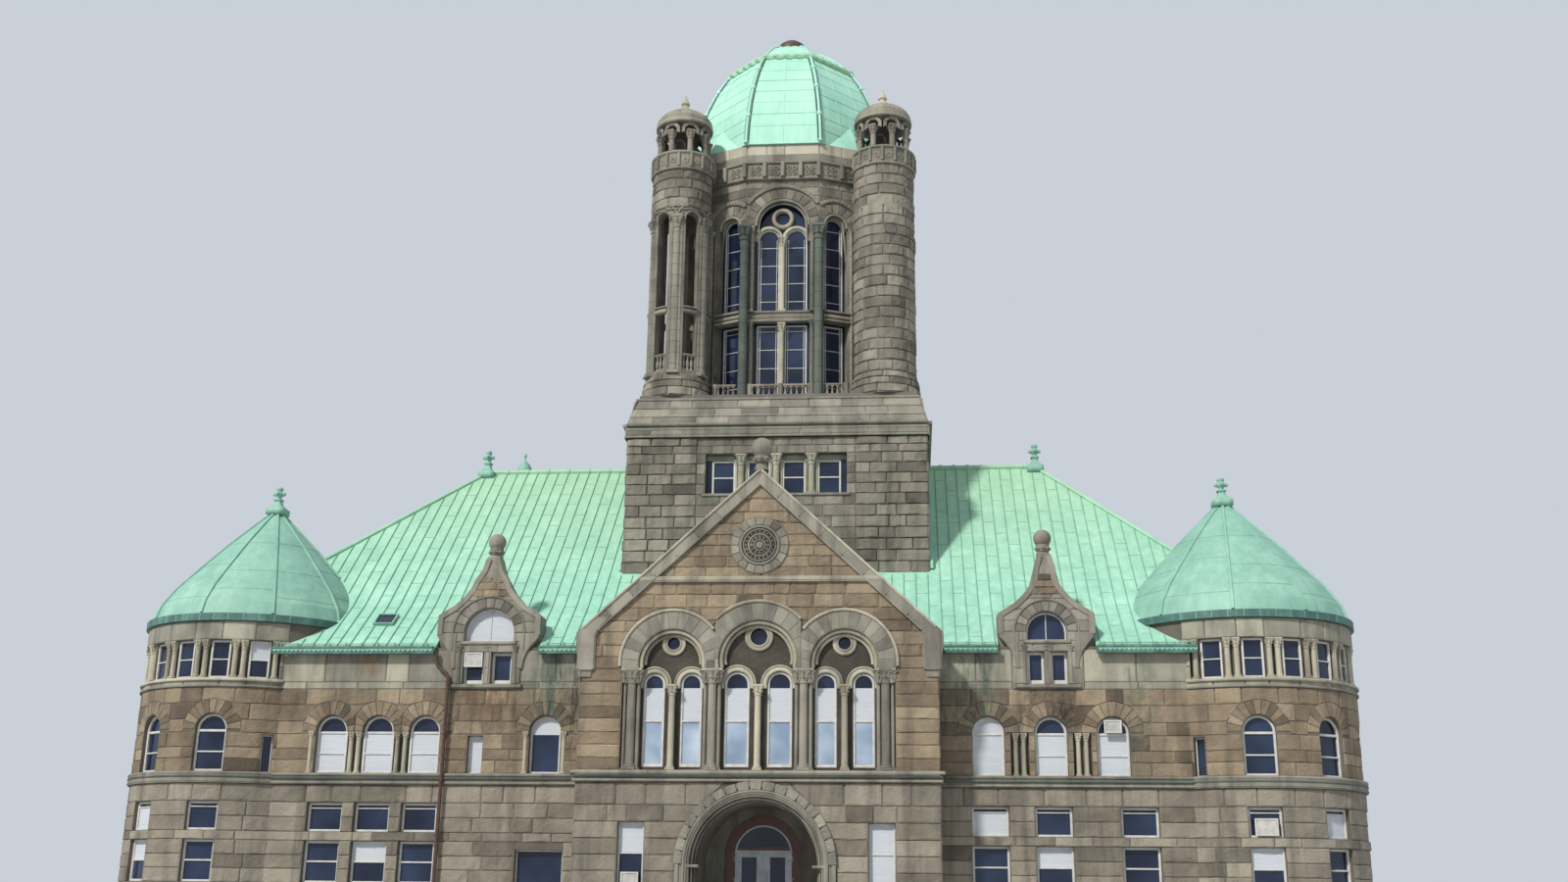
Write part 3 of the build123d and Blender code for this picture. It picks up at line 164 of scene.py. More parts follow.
# %% Node helper
class Paint:
    """A material under construction: a Principled shader and short calls that add and wire nodes."""

    def __init__(self, name, rough=0.8, metal=0.0, **settings):
        self.material = bpy.data.materials.new(name)
        self.material.use_nodes = True
        self.tree = self.material.node_tree
        self.shader = self.tree.nodes["Principled BSDF"]
        self.shader.inputs["Roughness"].default_value = rough
        self.shader.inputs["Metallic"].default_value = metal
        for key, value in settings.items():
            self.shader.inputs[key.replace("_", " ")].default_value = value
        self.place = self.tree.nodes.new("ShaderNodeTexCoord").outputs["Object"]

    def wire(self, value, socket):
        if isinstance(value, bpy.types.NodeSocket):
            self.tree.links.new(value, socket)
        else:
            socket.default_value = value

    def add(self, kind, output=0, inputs=None, **settings):
        node = self.tree.nodes.new("ShaderNode" + kind)
        for key, value in settings.items():
            setattr(node, key, value)
        for key, value in (inputs or {}).items():
            self.wire(value, node.inputs[key])
        return node.outputs[output]

    def math(self, operation, a, b=0.0, clamp=False):
        return self.add("Math", operation=operation, use_clamp=clamp, inputs={0: a, 1: b})

    def times(self, a, b):
        return self.math("MULTIPLY", a, b)

    def stretched(self, x, y, z):
        return self.add("VectorMath", operation="MULTIPLY", inputs={0: self.place, 1: (x, y, z)})

    def noise(self, scale, detail=4.0, rough=0.55, at=None):
        return self.add("TexNoise", inputs={"Vector": at or self.place, "Scale": scale, "Detail": detail,
                                            "Roughness": rough})

    def ramp(self, value, *stops):
        node = self.tree.nodes.new("ShaderNodeValToRGB")
        self.wire(value, node.inputs[0])
        elements = node.color_ramp.elements
        while len(elements) < len(stops):
            elements.new(0.5)
        for element, (where, color) in zip(elements, stops):
            element.position = where
            element.color = (*color, 1) if len(color) == 3 else color
        return node.outputs[0]

    def mask(self, value, low, high):
        """0 below low, 1 above high."""
        return self.ramp(value, (low, (0, 0, 0)), (high, (1, 1, 1)))

    def mix(self, share, a, b):
        node = self.tree.nodes.new("ShaderNodeMix")
        node.data_type = "RGBA"
        a, b = ((*v, 1) if isinstance(v, tuple) and len(v) == 3 else v for v in (a, b))
        for value, socket in ((share, 0), (a, 6), (b, 7)):
            self.wire(value, node.inputs[socket])
        return node.outputs[2]

    def attribute(self, name):
        return self.add("Attribute", output=2, attribute_name=name)

    def height(self):
        return self.add("SeparateXYZ", output=2, inputs={0: self.place})

    def field(self, x, z, wide, high):
        """1 in the middle of a field of the front, falling to 0 at its half sizes across and upright."""
        across = self.add("SeparateXYZ", output=0, inputs={0: self.place})
        past = [self.math("ABSOLUTE", self.math("DIVIDE", self.math("SUBTRACT", value, middle), size))
                for value, middle, size in ((across, x, wide), (self.height(), z, high))]
        near = [self.math("SUBTRACT", 1.0, self.math("POWER", value, 3.0), True) for value in past]
        return self.times(*near)

    def finish(self, color, bump=None, strength=0.4, distance=0.01):
        self.wire(color, self.shader.inputs["Base Color"])
        if bump is not None:
            normal = self.add("Bump", inputs={"Strength": strength, "Distance": distance, "Height": bump})
            self.wire(normal, self.shader.inputs["Normal"])
        return self.material


print("paint helper ready")

# %% [markdown]
# ## Granite
#
# The stone is brown and buff in the second storey, grey below and greyer on the tower, and rain has left dark and
# green streaks under the ledges. A flat picture of stone would repeat and blur. Here each block has a tone of its
# own, read from the piece, and three noises at different sizes give the mottling, the grain and the upright streaks.


# %% Granite finishes
def granite(name, dark, middle, light, streak=0.45, green=0.0, grain=0.7, laid=True, stains=(), drums=0.0):
    """Stone whose colour runs from dark to light with each block's tone, with rain streaks and a fine grain.

    A solid that isn't laid in blocks gets the tones of large patches instead. Each stain is a colour with
    the middle and the half sizes of the field that it fills across and upright. Shafts that are built up of
    drums get a dark joint wherever z is a whole number of drums.
    """
    p = Paint(name, rough=0.88)
    mottle = p.noise(2.3, 6.0)
    fine = p.noise(60.0, 3.0, 0.7)
    own = p.attribute("tone") if laid else p.noise(1.4, 2.0, 0.5)
    tone = p.math("ADD", p.times(own, 0.55), p.times(mottle, 0.6))
    color = p.ramp(tone, (0.28, dark), (0.52, middle), (0.78, light))
    color = p.mix(p.times(fine, 0.35), color, p.mix(0.5, color, (0.02, 0.018, 0.015)))
    rain = p.noise(1.0, 5.0, 0.6, at=p.stretched(3.2, 3.2, 0.35))
    wet = p.mask(rain, 0.48, 0.68)
    color = p.mix(p.times(wet, streak), color, (0.045, 0.04, 0.034))
    if green:
        moss = p.mask(p.noise(0.8, 4.0, 0.6, at=p.stretched(2.0, 2.0, 0.5)), 0.5, 0.72)
        color = p.mix(p.times(moss, green), color, (0.06, 0.13, 0.09))
    if stains:
        field = p.noise(2.6, 6.0, 0.68, at=p.stretched(3.0, 3.0, 1.1))
        broken = p.ramp(field, (0.4, (0.1, 0.1, 0.1)), (0.6, (1, 1, 1)))
        patchy = p.times(p.math("ADD", wet, 0.5, True), broken)
    for tint, x, z, wide, high in stains:
        color = p.mix(p.times(p.field(x, z, wide, high), patchy), color, tint)
    if drums:
        share = p.math("FRACT", p.math("DIVIDE", p.height(), drums))
        color = p.mix(p.ramp(share, (0.0, (1, 1, 1)), (0.07, (0, 0, 0))), color, (0.03, 0.027, 0.022))
    relief = p.math("ADD", p.noise(9.0, 9.0, 0.7), p.times(fine, 0.25))
    return p.finish(color, relief, grain, 0.07)


RUST, SOOT, VERDIGRIS = (0.17, 0.095, 0.048), (0.035, 0.028, 0.022), (0.05, 0.085, 0.068)
STAINS = ((SOOT, -5.14, 4.0, 0.72, 0.62), (RUST, -5.1, 4.2, 0.5, 0.35), (VERDIGRIS, -3.75, 4.4, 0.62, 1.1),
          (SOOT, -3.4, 3.9, 0.4, 1.2), (VERDIGRIS, 3.7, 4.6, 0.6, 1.3), (SOOT, 5.135, 4.05, 0.66, 0.5),
          (VERDIGRIS, 6.75, 4.1, 0.35, 1.2), (RUST, -7.35, 4.95, 0.22, 0.35), (RUST, -5.75, 4.95, 0.2, 0.4))
buff = (0.1, 0.076, 0.052), (0.225, 0.174, 0.117), (0.36, 0.285, 0.195)
ashy = (0.1, 0.095, 0.078), (0.205, 0.193, 0.16), (0.31, 0.29, 0.235)
sooty = (0.085, 0.077, 0.063), (0.205, 0.185, 0.15), (0.33, 0.3, 0.245)
brown = granite("granite_brown", *buff, stains=STAINS)
grey = granite("granite_grey", (0.1, 0.088, 0.07), (0.225, 0.196, 0.155), (0.35, 0.312, 0.248), 0.5, 0.1)
band = granite("granite_smooth_grey", (0.14, 0.136, 0.11), (0.27, 0.262, 0.21), (0.4, 0.385, 0.3), 0.5, 0.2, 0.25,
               stains=STAINS)
tower = granite("granite_tower", *sooty, 0.6, 0.1)
tower_plain = granite("granite_tower_plain", *sooty, 0.6, 0.1, laid=False)
dressed = granite("granite_dressed", *ashy, 0.55, 0.1, 0.2)
dressed_plain = granite("granite_dressed_plain", *ashy, 0.55, 0.1, 0.2, laid=False)
brown_plain = granite("granite_brown_plain", *buff, laid=False)
# Near-black green stone: a real stain on the tall columns; on the belt's middle roll its darkness also paints shade.
stained = granite("granite_stained_green", (0.026, 0.037, 0.034), (0.052, 0.07, 0.064), (0.12, 0.138, 0.118), 0.4,
                  0.25, 0.2, drums=0.34)
shafts = granite("granite_shafts", *ashy, 0.6, 0.25, 0.2, drums=0.25)
cream = granite("granite_cream", (0.2, 0.185, 0.14), (0.36, 0.335, 0.255), (0.5, 0.47, 0.37), 0.5, 0.1, 0.2)
# Near-black stone that paints shade: the sunk spandrels of the arcade's tracery and the insides of the belvederes.
shadowed = granite("granite_sooty", (0.02, 0.018, 0.015), (0.05, 0.044, 0.035), (0.1, 0.088, 0.07), 0.5, laid=False)
mortar = granite("mortar", (0.07, 0.06, 0.048), (0.12, 0.104, 0.083), (0.17, 0.15, 0.12), 0.3, 0.0, 0.3,
                 laid=False)
print("thirteen kinds of stone")

# %% [markdown]
# ## Copper, glass, paint and wood
#
# The copper is pale mint with chalky upright runs, duller on the round towers and yellow-green along the ridge. The
# glass is near black with a hard gloss, because the rooms behind it are dark, and some windows have white blinds.
# Real window glass could be see-through here, but every room is bare, so dark glass tells the truth more simply.


# %% Copper, glass, paint and wood
def copper(name, dark, middle, light, ridge=0.0, scale=1.0):
    """Green patina: mottled, with chalky runs down the slope and darker specks."""
    p = Paint(name, rough=0.62)
    cloud = p.noise(1.6 * scale, 5.0)
    runs = p.noise(1.0, 5.0, 0.65, at=p.stretched(7.0, 7.0, 0.9))
    color = p.ramp(p.math("ADD", p.times(cloud, 0.5), p.times(runs, 0.5)),
                   (0.3, dark), (0.5, middle), (0.7, light))
    sheet = p.mask(p.noise(0.7, 2.0, 0.4, at=p.stretched(4.3, 4.3, 1.1)), 0.4, 0.62)
    color = p.mix(p.times(sheet, 0.25), color, dark)
    if ridge:
        up = p.add("MapRange", inputs={0: p.height(), 1: 6.4, 2: 9.6, 3: 0.0, 4: ridge})
        color = p.mix(up, color, (0.33, 0.5, 0.27))
    specks = p.mask(p.noise(38.0, 3.0, 0.6), 0.62, 0.74)
    color = p.mix(p.times(specks, 0.3), color, (0.1, 0.16, 0.13))
    return p.finish(color, p.noise(9.0, 5.0), 0.15, 0.01)


mint = copper("copper_main", (0.19, 0.42, 0.32), (0.28, 0.54, 0.42), (0.4, 0.66, 0.52), ridge=0.45)
dull = copper("copper_round", (0.15, 0.32, 0.26), (0.22, 0.42, 0.34), (0.3, 0.52, 0.42))
pale = copper("copper_dome", (0.27, 0.56, 0.44), (0.36, 0.66, 0.53), (0.44, 0.74, 0.6), scale=0.6)
gutter_green = copper("copper_gutter", (0.025, 0.075, 0.065), (0.055, 0.14, 0.12), (0.13, 0.28, 0.235), scale=2.0)
seam_green = copper("copper_seams", (0.12, 0.27, 0.2), (0.18, 0.38, 0.28), (0.26, 0.48, 0.36), scale=3.0)


def glazing(name="window_glass", low=(0.006, 0.01, 0.025), high=(0.022, 0.036, 0.08), scale=0.9):
    """Glass whose colour paints the sky's reflection: dark or bright, a little bluer in patches, with a hard gloss."""
    p = Paint(name, rough=0.05, Specular_IOR_Level=0.45)
    color = p.ramp(p.noise(scale, 2.0), (0.35, low), (0.7, high))
    return p.finish(color, p.noise(3.0, 1.0), 0.04, 0.01)


def plain(name, low, high, rough=0.6, scale=5.0, strength=0.1, at=(1, 1, 1), metal=0.0):
    """A painted, wooden or woven surface: two close colours over noise, with a slight relief."""
    p = Paint(name, rough=rough, metal=metal)
    field = p.noise(scale, 5.0, 0.6, at=p.stretched(*at))
    return p.finish(p.ramp(field, (0.3, low), (0.7, high)), field, strength, 0.004)


glass = glazing()
# The bright panes' pale blue-white colour paints the sky's reflection.
sky_glass = glazing("window_glass_bright", (0.2, 0.27, 0.38), (0.46, 0.55, 0.66), 1.3)
white = plain("paint_white", (0.42, 0.42, 0.4), (0.58, 0.58, 0.55), 0.45, 9.0)
door_white = plain("paint_door", (0.42, 0.45, 0.5), (0.62, 0.64, 0.68), 0.4, 6.0)
blind = plain("blind_cloth", (0.4, 0.43, 0.48), (0.52, 0.55, 0.59), 0.85, 3.0, 0.3, (1, 1, 60))
wood = plain("varnished_wood", (0.045, 0.014, 0.007), (0.15, 0.05, 0.022), 0.35, 4.0, 0.2, (18, 18, 1))
inside = plain("room_lining", (0.1, 0.095, 0.085), (0.16, 0.15, 0.135), 0.9, 2.0)
iron = plain("downpipe_iron", (0.04, 0.018, 0.014), (0.09, 0.045, 0.035), 0.55, 12.0, 0.2)
steel = plain("hinge_steel", (0.3, 0.3, 0.31), (0.45, 0.45, 0.46), 0.35, 30.0, 0.1, (1, 1, 1), 0.9)
print(len(bpy.data.materials), "finishes")

# %% Finishes of the solids that stay in view, and the slots of the finishes
FINISH = {
    brown_plain: "pavilion_gable_wall",
    mortar: "left_wing_front right_wing_front side_walls rear_wall left_tower_wall right_tower_wall "
            "pavilion_lower_wall tower_base_walls plinth",
    tower_plain: "lantern_walls turret_shafts tower_piers",
    dressed_plain: "arcade_arch_rings arcade_columns ball_finials belt_course dormer_fronts entrance_arch front_steps "
                   "gable_coping gable_rosette lantern_frieze porch_walls door_wall tower_cornice turret_caps "
                   "wall_colonnettes lantern_columns balustrade",
    # The tracery's spandrels get near-black stone, which paints the shade of their recess.
    shadowed: "arcade_tracery",
    mint: "front_roof rear_roof end_roofs gable_roofs",
    dull: "cone_roofs roof_finials",
    pale: "dome broaches",
    seam_green: "dome_ribs",
    gutter_green: "gutters",
    iron: "dome_cap",
    glass: "first_storey_windows second_storey_windows third_storey_windows tower_windows fanlight "
           "left_door_glass right_door_glass",
    door_white: "left_door right_door",
    wood: "door_surround",
    inside: "storey_floors tower_floors",
    steel: "hinge_pins",
}
for material, names in FINISH.items():
    for name in names.split():
        nodes[name].data.materials.clear()
        nodes[name].data.materials.append(material)
SLOTS = {
    "rough_granite": (brown, tower), "grey_granite": (grey,),
    "dressed_granite": (band, dressed, cream, stained, shafts, shadowed),
    "copper": (mint, dull, pale, gutter_green, seam_green, iron),
    "white_sash": (white, blind, door_white), "glass": (glass, sky_glass),
}
slot_of.update({material.name: slot for slot, materials in SLOTS.items() for material in materials})
print("left without a finish:", sorted(set(nodes) - set(" ".join(FINISH.values()).split())))

# %% [markdown]
# ## Floor, light and camera
#
# The floor and the far backdrop are pale and plain. One broad lamp stands high at the left, where the sun is in the
# photo, and a pale sky fills the shadows. The camera stands where the photo's camera stood, at half its distance,
# and looks up by the same 16 degrees.


# %% Stage
def stage_material():
    p = Paint("stage_floor", rough=0.95)
    return p.finish(p.ramp(p.noise(0.3, 2.0), (0.3, (0.5, 0.5, 0.49)), (0.7, (0.54, 0.54, 0.53))))


reach = 400.0
floor_mesh = bpy.data.meshes.new("floor")
floor_mesh.from_pydata([(-reach, -reach, 0), (reach, -reach, 0), (reach, reach, 0), (-reach, reach, 0)], [],
                       [(0, 1, 2, 3)])
floor = bpy.data.objects.new("floor", floor_mesh)
floor_mesh.materials.append(stage_material())
bpy.context.scene.collection.objects.link(floor)

world = bpy.data.worlds.new("sky")
bpy.context.scene.world = world
world.use_nodes = True
world.node_tree.nodes["Background"].inputs[0].default_value = (0.78, 0.84, 0.92, 1)
world.node_tree.nodes["Background"].inputs[1].default_value = 0.75

sun = bpy.data.lights.new("key_lamp", "SUN")
sun.energy = 3.6
sun.angle = math.radians(5)
sun.color = (1.0, 0.96, 0.89)
lamp = bpy.data.objects.new("key_lamp", sun)
lamp.rotation_euler = (math.radians(50), 0, math.radians(-32))
bpy.context.scene.collection.objects.link(lamp)

pitch, yaw, lean = math.radians(16.399), math.radians(4.716), math.radians(0.623)
forward = np.array([-math.sin(yaw) * math.cos(pitch), math.cos(yaw) * math.cos(pitch), math.sin(pitch)])
level = np.array([math.cos(yaw), math.sin(yaw), 0])
upward = np.cross(level, forward)
right = math.cos(lean) * level + math.sin(lean) * upward
up = -math.sin(lean) * level + math.cos(lean) * upward
camera = bpy.data.objects.new("camera", bpy.data.cameras.new("camera"))
SENSOR, PHOTO_WIDTH, FOCAL_PIXELS = 36, 1600, 1581.12
STAND = (2.655, -27.135, 0.8)
camera.data.sensor_width = SENSOR
camera.data.lens = FOCAL_PIXELS / PHOTO_WIDTH * SENSOR
camera.data.clip_end = 1000
camera.matrix_world = Matrix.Translation(STAND) @ Matrix(np.stack([right, up, -forward], 1)).to_4x4()
bpy.context.scene.collection.objects.link(camera)
bpy.context.scene.camera = camera
bpy.context.scene.view_settings.view_transform = "Standard"
print("camera lens", round(camera.data.lens, 2), "mm")

# %% [markdown]
# ## Walls and rings as places
#
# Blocks are laid out flat, in a distance along the wall, a distance out of it and a height. A place turns those three
# into the frame: a straight wall with a turn, a round tower, or a ring of wedge stones that itself stands in a wall.
# The same stones can then go on any of them. Bending a finished flat wall would do too, but it would stretch stones.


# %% Places
def flat(x, y, turn=0.0):
    """(u, out, z) on a straight wall: u runs to the right seen from outside, out points away from it."""
    c, s = math.cos(math.radians(turn)), math.sin(math.radians(turn))
    place = lambda u, out, z: np.stack([x + u * c + out * s, y + u * s - out * c, z + 0 * u], -1)
    place.turn = turn
    return place


def facing(x, y, radius, a, turn):
    """The straight wall that touches a circle at the angle a."""
    return flat(x + radius * math.cos(a), y + radius * math.sin(a), turn)


def tower_side(k, reach=TOWER_HALF):
    """One of the four sides of the great tower: front, right, rear and left."""
    return facing(0, TOWER_Y, reach, math.radians(90 * k - 90), 90 * k)


def shifted(place, by):
    """The same place moved outward."""
    return lambda u, out, z: place(u, out + by, z)


def drum(x, y, radius):
    """(u, out, z) on an upright cylinder: u is the distance round it from +X, seen from above."""
    return lambda u, out, z: np.stack([x + (radius + out) * np.cos(u / radius),
                                       y + (radius + out) * np.sin(u / radius), z + 0 * u], -1)


def ring_on(place, u0, z0, inner, outer, reach=(9.0, 9.0)):
    """(a, out, r) round a point of a wall: a runs over the arch from left to right, r is the distance from its centre.

    Where r cos a would pass the reach to the left or right, the outer end of the stone is drawn in to it.
    """
    def at(a, out, r):
        cosine = np.cos(a)
        most = np.minimum(outer, np.where(cosine > 0, *reach) / np.maximum(np.abs(cosine), 1e-6))
        r = inner + (r - inner) * (most - inner) / (outer - inner)
        return place(u0 - r * cosine, out, z0 + r * np.sin(a))
    return at


front, rear = flat(0, WING_Y), flat(0, REAR_Y, 180)
left, right_side = flat(LEFT_X, TOWER_Y, -90), flat(RIGHT_X, TOWER_Y, 90)
pavilion = flat(0, 0)
print("places ready")

# %% [markdown]
# ## Laying courses
#
# A wall is cut into courses, and each course into blocks between the openings. `lay` works out the edges of each
# block. Openings may have a round head, and a wall's ends may slope, as under a gable. The lengths vary and the
# joints of one course keep clear of those below, as a mason breaks them.


# %% Layout of blocks
def widest(value, ends):
    return ends(value) if callable(ends) else ends


def spans(low, high, edges, holes):
    """The free stretches of one course: the wall's ends less every opening that fills it from low to high.

    An opening is (middle, half width, foot, spring, rise of its head); a head that hangs down has a rise below 0.
    """
    free = [(min(widest(low, edges)[0], widest(high, edges)[0]), max(widest(low, edges)[1], widest(high, edges)[1]))]
    for middle, half, foot, spring, rise in holes:
        crown = spring + rise
        if high <= min(foot, crown) + 0.01 or low >= max(spring, crown) - 0.01:
            continue
        far = high if rise > 0 else low
        if rise and (far > crown if rise > 0 else far < crown):
            continue
        past = (far - spring) / rise if rise else 0
        reach = half * math.sqrt(1 - past * past) if past > 0 else half
        free = [(a, b) for p, q in free for a, b in ((p, min(q, middle - reach)), (max(p, middle + reach), q))
                if b - a > 0.03]
    return free


def lay(edges, levels, length, holes=(), seed=1):
    """Blocks as rows of (u left, u right, z low, z high), one course between each two levels."""
    rng = np.random.default_rng(seed)
    blocks = []
    for row, (low, high) in enumerate(zip(levels, levels[1:])):
        for a, b in spans(low, high, edges, holes):
            count = max(1, round((b - a) / length))
            shift = rng.uniform(-0.28, 0.28, max(0, count - 1)) + (0.2 if row % 2 else -0.2)
            cuts = a + (b - a) / count * np.concatenate([[0], np.arange(1, count) + shift, [count]])
            blocks += [(u, v, low, high) for u, v in zip(cuts, cuts[1:])]
    return np.array(blocks).reshape(-1, 4)


print(len(lay((0, 5), (0, 0.2, 0.36), 0.5)), "blocks on a trial wall")

# %% [markdown]
# ## Rock faces
#
# A rock-faced block has a straight margin at its joints and a rough middle that stands out. Each block gets the same
# small grid of points. The relief is the margin's rise times a random height, so no two are alike, and facets stay
# flat for the look of split stone. A bump map alone is cheaper, but it has no outline where a wall turns. Points
# that would fall inside a round opening, or past a raking edge, are moved to its line, so blocks follow arches and
# gables.


# %% Stones from blocks
def stones(name, place, blocks, material, holes=(), edges=None, proud=0.022, gap=0.006, rough=0.5, grid=(8, 6), seed=1,
           tone=0.5, **options):
    """Pillows over the blocks.

    With s and t from 0 to 1 over a block, out = proud * m(s) m(t) * (1 - rough * random), and m rises from 0 at a
    joint to 1 within a tenth of the block. Then |u - middle| >= half * sqrt(1 - ((z - spring) / rise)^2) is kept for
    every round head beside the block, and the same for z where the block lies over its crown.
    """
    rng = np.random.default_rng(seed)
    n, m = grid
    inner = lambda k: np.concatenate([[0, 0.03], np.linspace(0.1, 0.9, k - 4), [0.97, 1]])
    rise_of = lambda k: np.concatenate([[0, 0.75], np.ones(k - 4), [0.75, 0]])
    b = np.asarray(blocks)[:, :, None, None]
    wide, high = b[:, 1] - b[:, 0] - gap, b[:, 3] - b[:, 2] - gap
    jitter = np.zeros((2, len(b), m, n))
    jitter[:, :, 2:-2, 2:-2] = rng.uniform(-0.3, 0.3, (2, len(b), m - 4, n - 4))
    u = b[:, 0] + gap / 2 + wide * (inner(n)[None, None, :] + jitter[0] / n)
    z = b[:, 2] + gap / 2 + high * (inner(m)[None, :, None] + jitter[1] / m)
    for middle, half, foot, spring, rise in holes:
        if rise:
            past = np.clip((z - spring) / rise, 0, 1)
            reach = (half + gap / 2) * np.sqrt(1 - past ** 2)
            level = (z - spring) * np.sign(rise) >= 0
            over = ((b[:, 3] > spring + rise) if rise > 0 else (b[:, 2] < spring + rise)) & level
            side = np.sign((b[:, 0] + b[:, 1]) / 2 - middle)
            beside = level & ~over & ((u - middle) * side < reach)
            u = np.where(beside, middle + side * reach, u)
            across = np.clip((u - middle) / half, -1, 1)
            line = spring + rise * np.sqrt(1 - across ** 2)
            z = np.where(over, np.maximum(z, line) if rise > 0 else np.minimum(z, line), z)
    if callable(edges):
        ends = np.array([edges(v) for v in z.ravel()]).reshape(*z.shape, 2)
        u = np.clip(u, ends[..., 0], ends[..., 1])
    lump = rng.uniform(0.75, 1.1, (len(b), 1, 1))
    rise_both = rise_of(m)[None, :, None] * rise_of(n)[None, None, :]
    out = proud * rise_both * lump * (1 - rough * rng.random((len(b), m, n)))
    out[:, [0, -1], :] = -0.004
    out[:, :, [0, -1]] = -0.004
    faces = many(n * m, lattice(m, n), len(b))
    tones = np.repeat(np.clip(rng.normal(tone, 0.2, len(b)), 0, 1), n * m)
    return build(name, place(u, out, z).reshape(-1, 3), faces, material, tone=tones, **options)


def row_of(cuts, low, high):
    """Blocks side by side between the cuts, all from low to high."""
    return np.array([(a, b, low, high) for a, b in zip(cuts, cuts[1:])])


def arch_stones(name, place, arches, material, count=13, reach=(9.0, 9.0), proud=0.02, rough=0.25, grid=(6, 6),
                **options):
    """Wedge stones in one ring for each (u, z of the centre, inner radius, outer radius, first angle)."""
    for k, (u0, z0, inner, outer, start) in enumerate(arches):
        cuts = np.linspace(start, math.pi - start, count + 1)
        sides = reach[k] if isinstance(reach, list) else reach
        stones(f"{name}_{k + 1}", ring_on(place, u0, z0, inner, outer, sides), row_of(cuts, inner, outer), material,
               gap=0.012, proud=proud, rough=rough, grid=grid, seed=40 + k, **options)


print("stone cutter ready")

# %% [markdown]
# ## The two wings and the round towers
#
# The ground storey is grey, the second storey brown, and a smooth grey-green band of big dressed slabs runs round
# under the gutters. The round towers carry the same courses round their curve. The opening lists below are used
# twice: once to keep blocks clear, and later to fill the same openings with windows.

# %% Courses of the wings
GROUND = (0.55, 0.75, 0.95, 1.2, 1.44, 1.695, 1.85, 2.11, 2.37, 2.69)
UPPER = (SILL, 3.13, 3.33, 3.6, 3.83, 4.13, BAND_FOOT)
BAND = (BAND_FOOT, 4.55, 5.14)
RING, ROUND_HALF = 0.27, 0.29


def pair(u, half=0.33):
    return [(u, half, 0.95, 1.695, 0), (u, half, 1.85, 2.37, 0)]


def round_head(u, half=ROUND_HALF, foot=SILL, spring=SPRING, ring=RING):
    return [(u, half, foot, spring, 0), (u, half + ring, spring, spring, half + ring)]


def arches_over(bays):
    return [(u, SPRING, ROUND_HALF, ROUND_HALF + RING, 0) for u in bays]


def all_of(make, places, *more):
    return [hole for u in places for hole in make(u, *more)]


def posts_between(bays):
    return [((a + b) / 2, 0.16, SILL, SPRING, 0) for a, b in zip(bays, bays[1:])]


left_low = all_of(pair, LEFT_BAYS) + [(LEFT_SINGLE, 0.435, 0.95, 1.565, 0)]
left_high = all_of(round_head, LEFT_BAYS + (LEFT_SINGLE,)) + [(LEFT_SLIT, 0.14, SILL, 3.57, 0)] + posts_between(
    LEFT_BAYS)
right_low = all_of(pair, RIGHT_LOW)
right_high = all_of(round_head, RIGHT_BAYS) + posts_between(RIGHT_BAYS)
side_u = [y - TOWER_Y for y in SIDE_BAYS]
rear_u = [9.9 - 1.8 * k for k in range(12)]
dormer_gaps = [(x, 0.63, BAND_FOOT, EAVE, 0) for x, wide, lunette in DORMERS]

straight = [
    ("left_front", front, (-9.03, -3.15), left_low, left_high, dormer_gaps[:1], 11),
    ("right_front", front, (3.15, 7.6), right_low, right_high, dormer_gaps[1:], 12),
    ("left_side", left, (-5.13, 1.945), all_of(pair, [-u for u in side_u]), all_of(round_head, [-u for u in side_u]),
     [], 13),
    ("right_side", right_side, (-1.95, 5.13), all_of(pair, side_u), all_of(round_head, side_u), [], 14),
    ("rear", rear, (-10.39, 11.815), all_of(pair, rear_u), all_of(round_head, rear_u), dormer_gaps, 15),
    ("left_return", flat(-3.15, 0, -90), (-1.05, 0.02), [], [], [], 16),
    ("right_return", flat(3.15, 0, 90), (-0.02, 1.05), [], [], [], 17),
]
for name, place, ends, low, high, band_holes, seed in straight:
    stones(name + "_ground_stones", place, lay(ends, GROUND, 0.62, low, seed), grey, low, proud=0.026, seed=seed,
           tone=0.55)
    stones(name + "_upper_stones", place, lay(ends, UPPER, 0.55, high, seed), brown, high, seed=seed)
    stones(name + "_band_stones", place, lay(ends, BAND, 0.85, band_holes, seed), band, band_holes, proud=0.014,
           rough=0.35, seed=seed)

half_pitch = 0.44
for name, place, bays, reach in (
        ("left_front", front, LEFT_BAYS, [(9, half_pitch), (half_pitch, half_pitch), (half_pitch, 9)]),
        ("left_front_single", front, (LEFT_SINGLE,), (9, 9)), ("right_front", front, RIGHT_BAYS, (9, 9)),
        ("left_side", left, [-u for u in side_u], (9, 9)), ("right_side", right_side, side_u, (9, 9)),
        ("rear", rear, rear_u, (9, 9))):
    arch_stones(name + "_arch", place, arches_over(bays), brown, 11, reach)
print(sum(made.values()), "triangles so far")

# %% Courses of the round towers
def angle_of(degrees, mirror):
    """Distance round a tower's face for an angle given for the left tower, turned over for the right one."""
    return ROUND_R * math.radians(degrees if mirror < 0 else -180 - degrees)


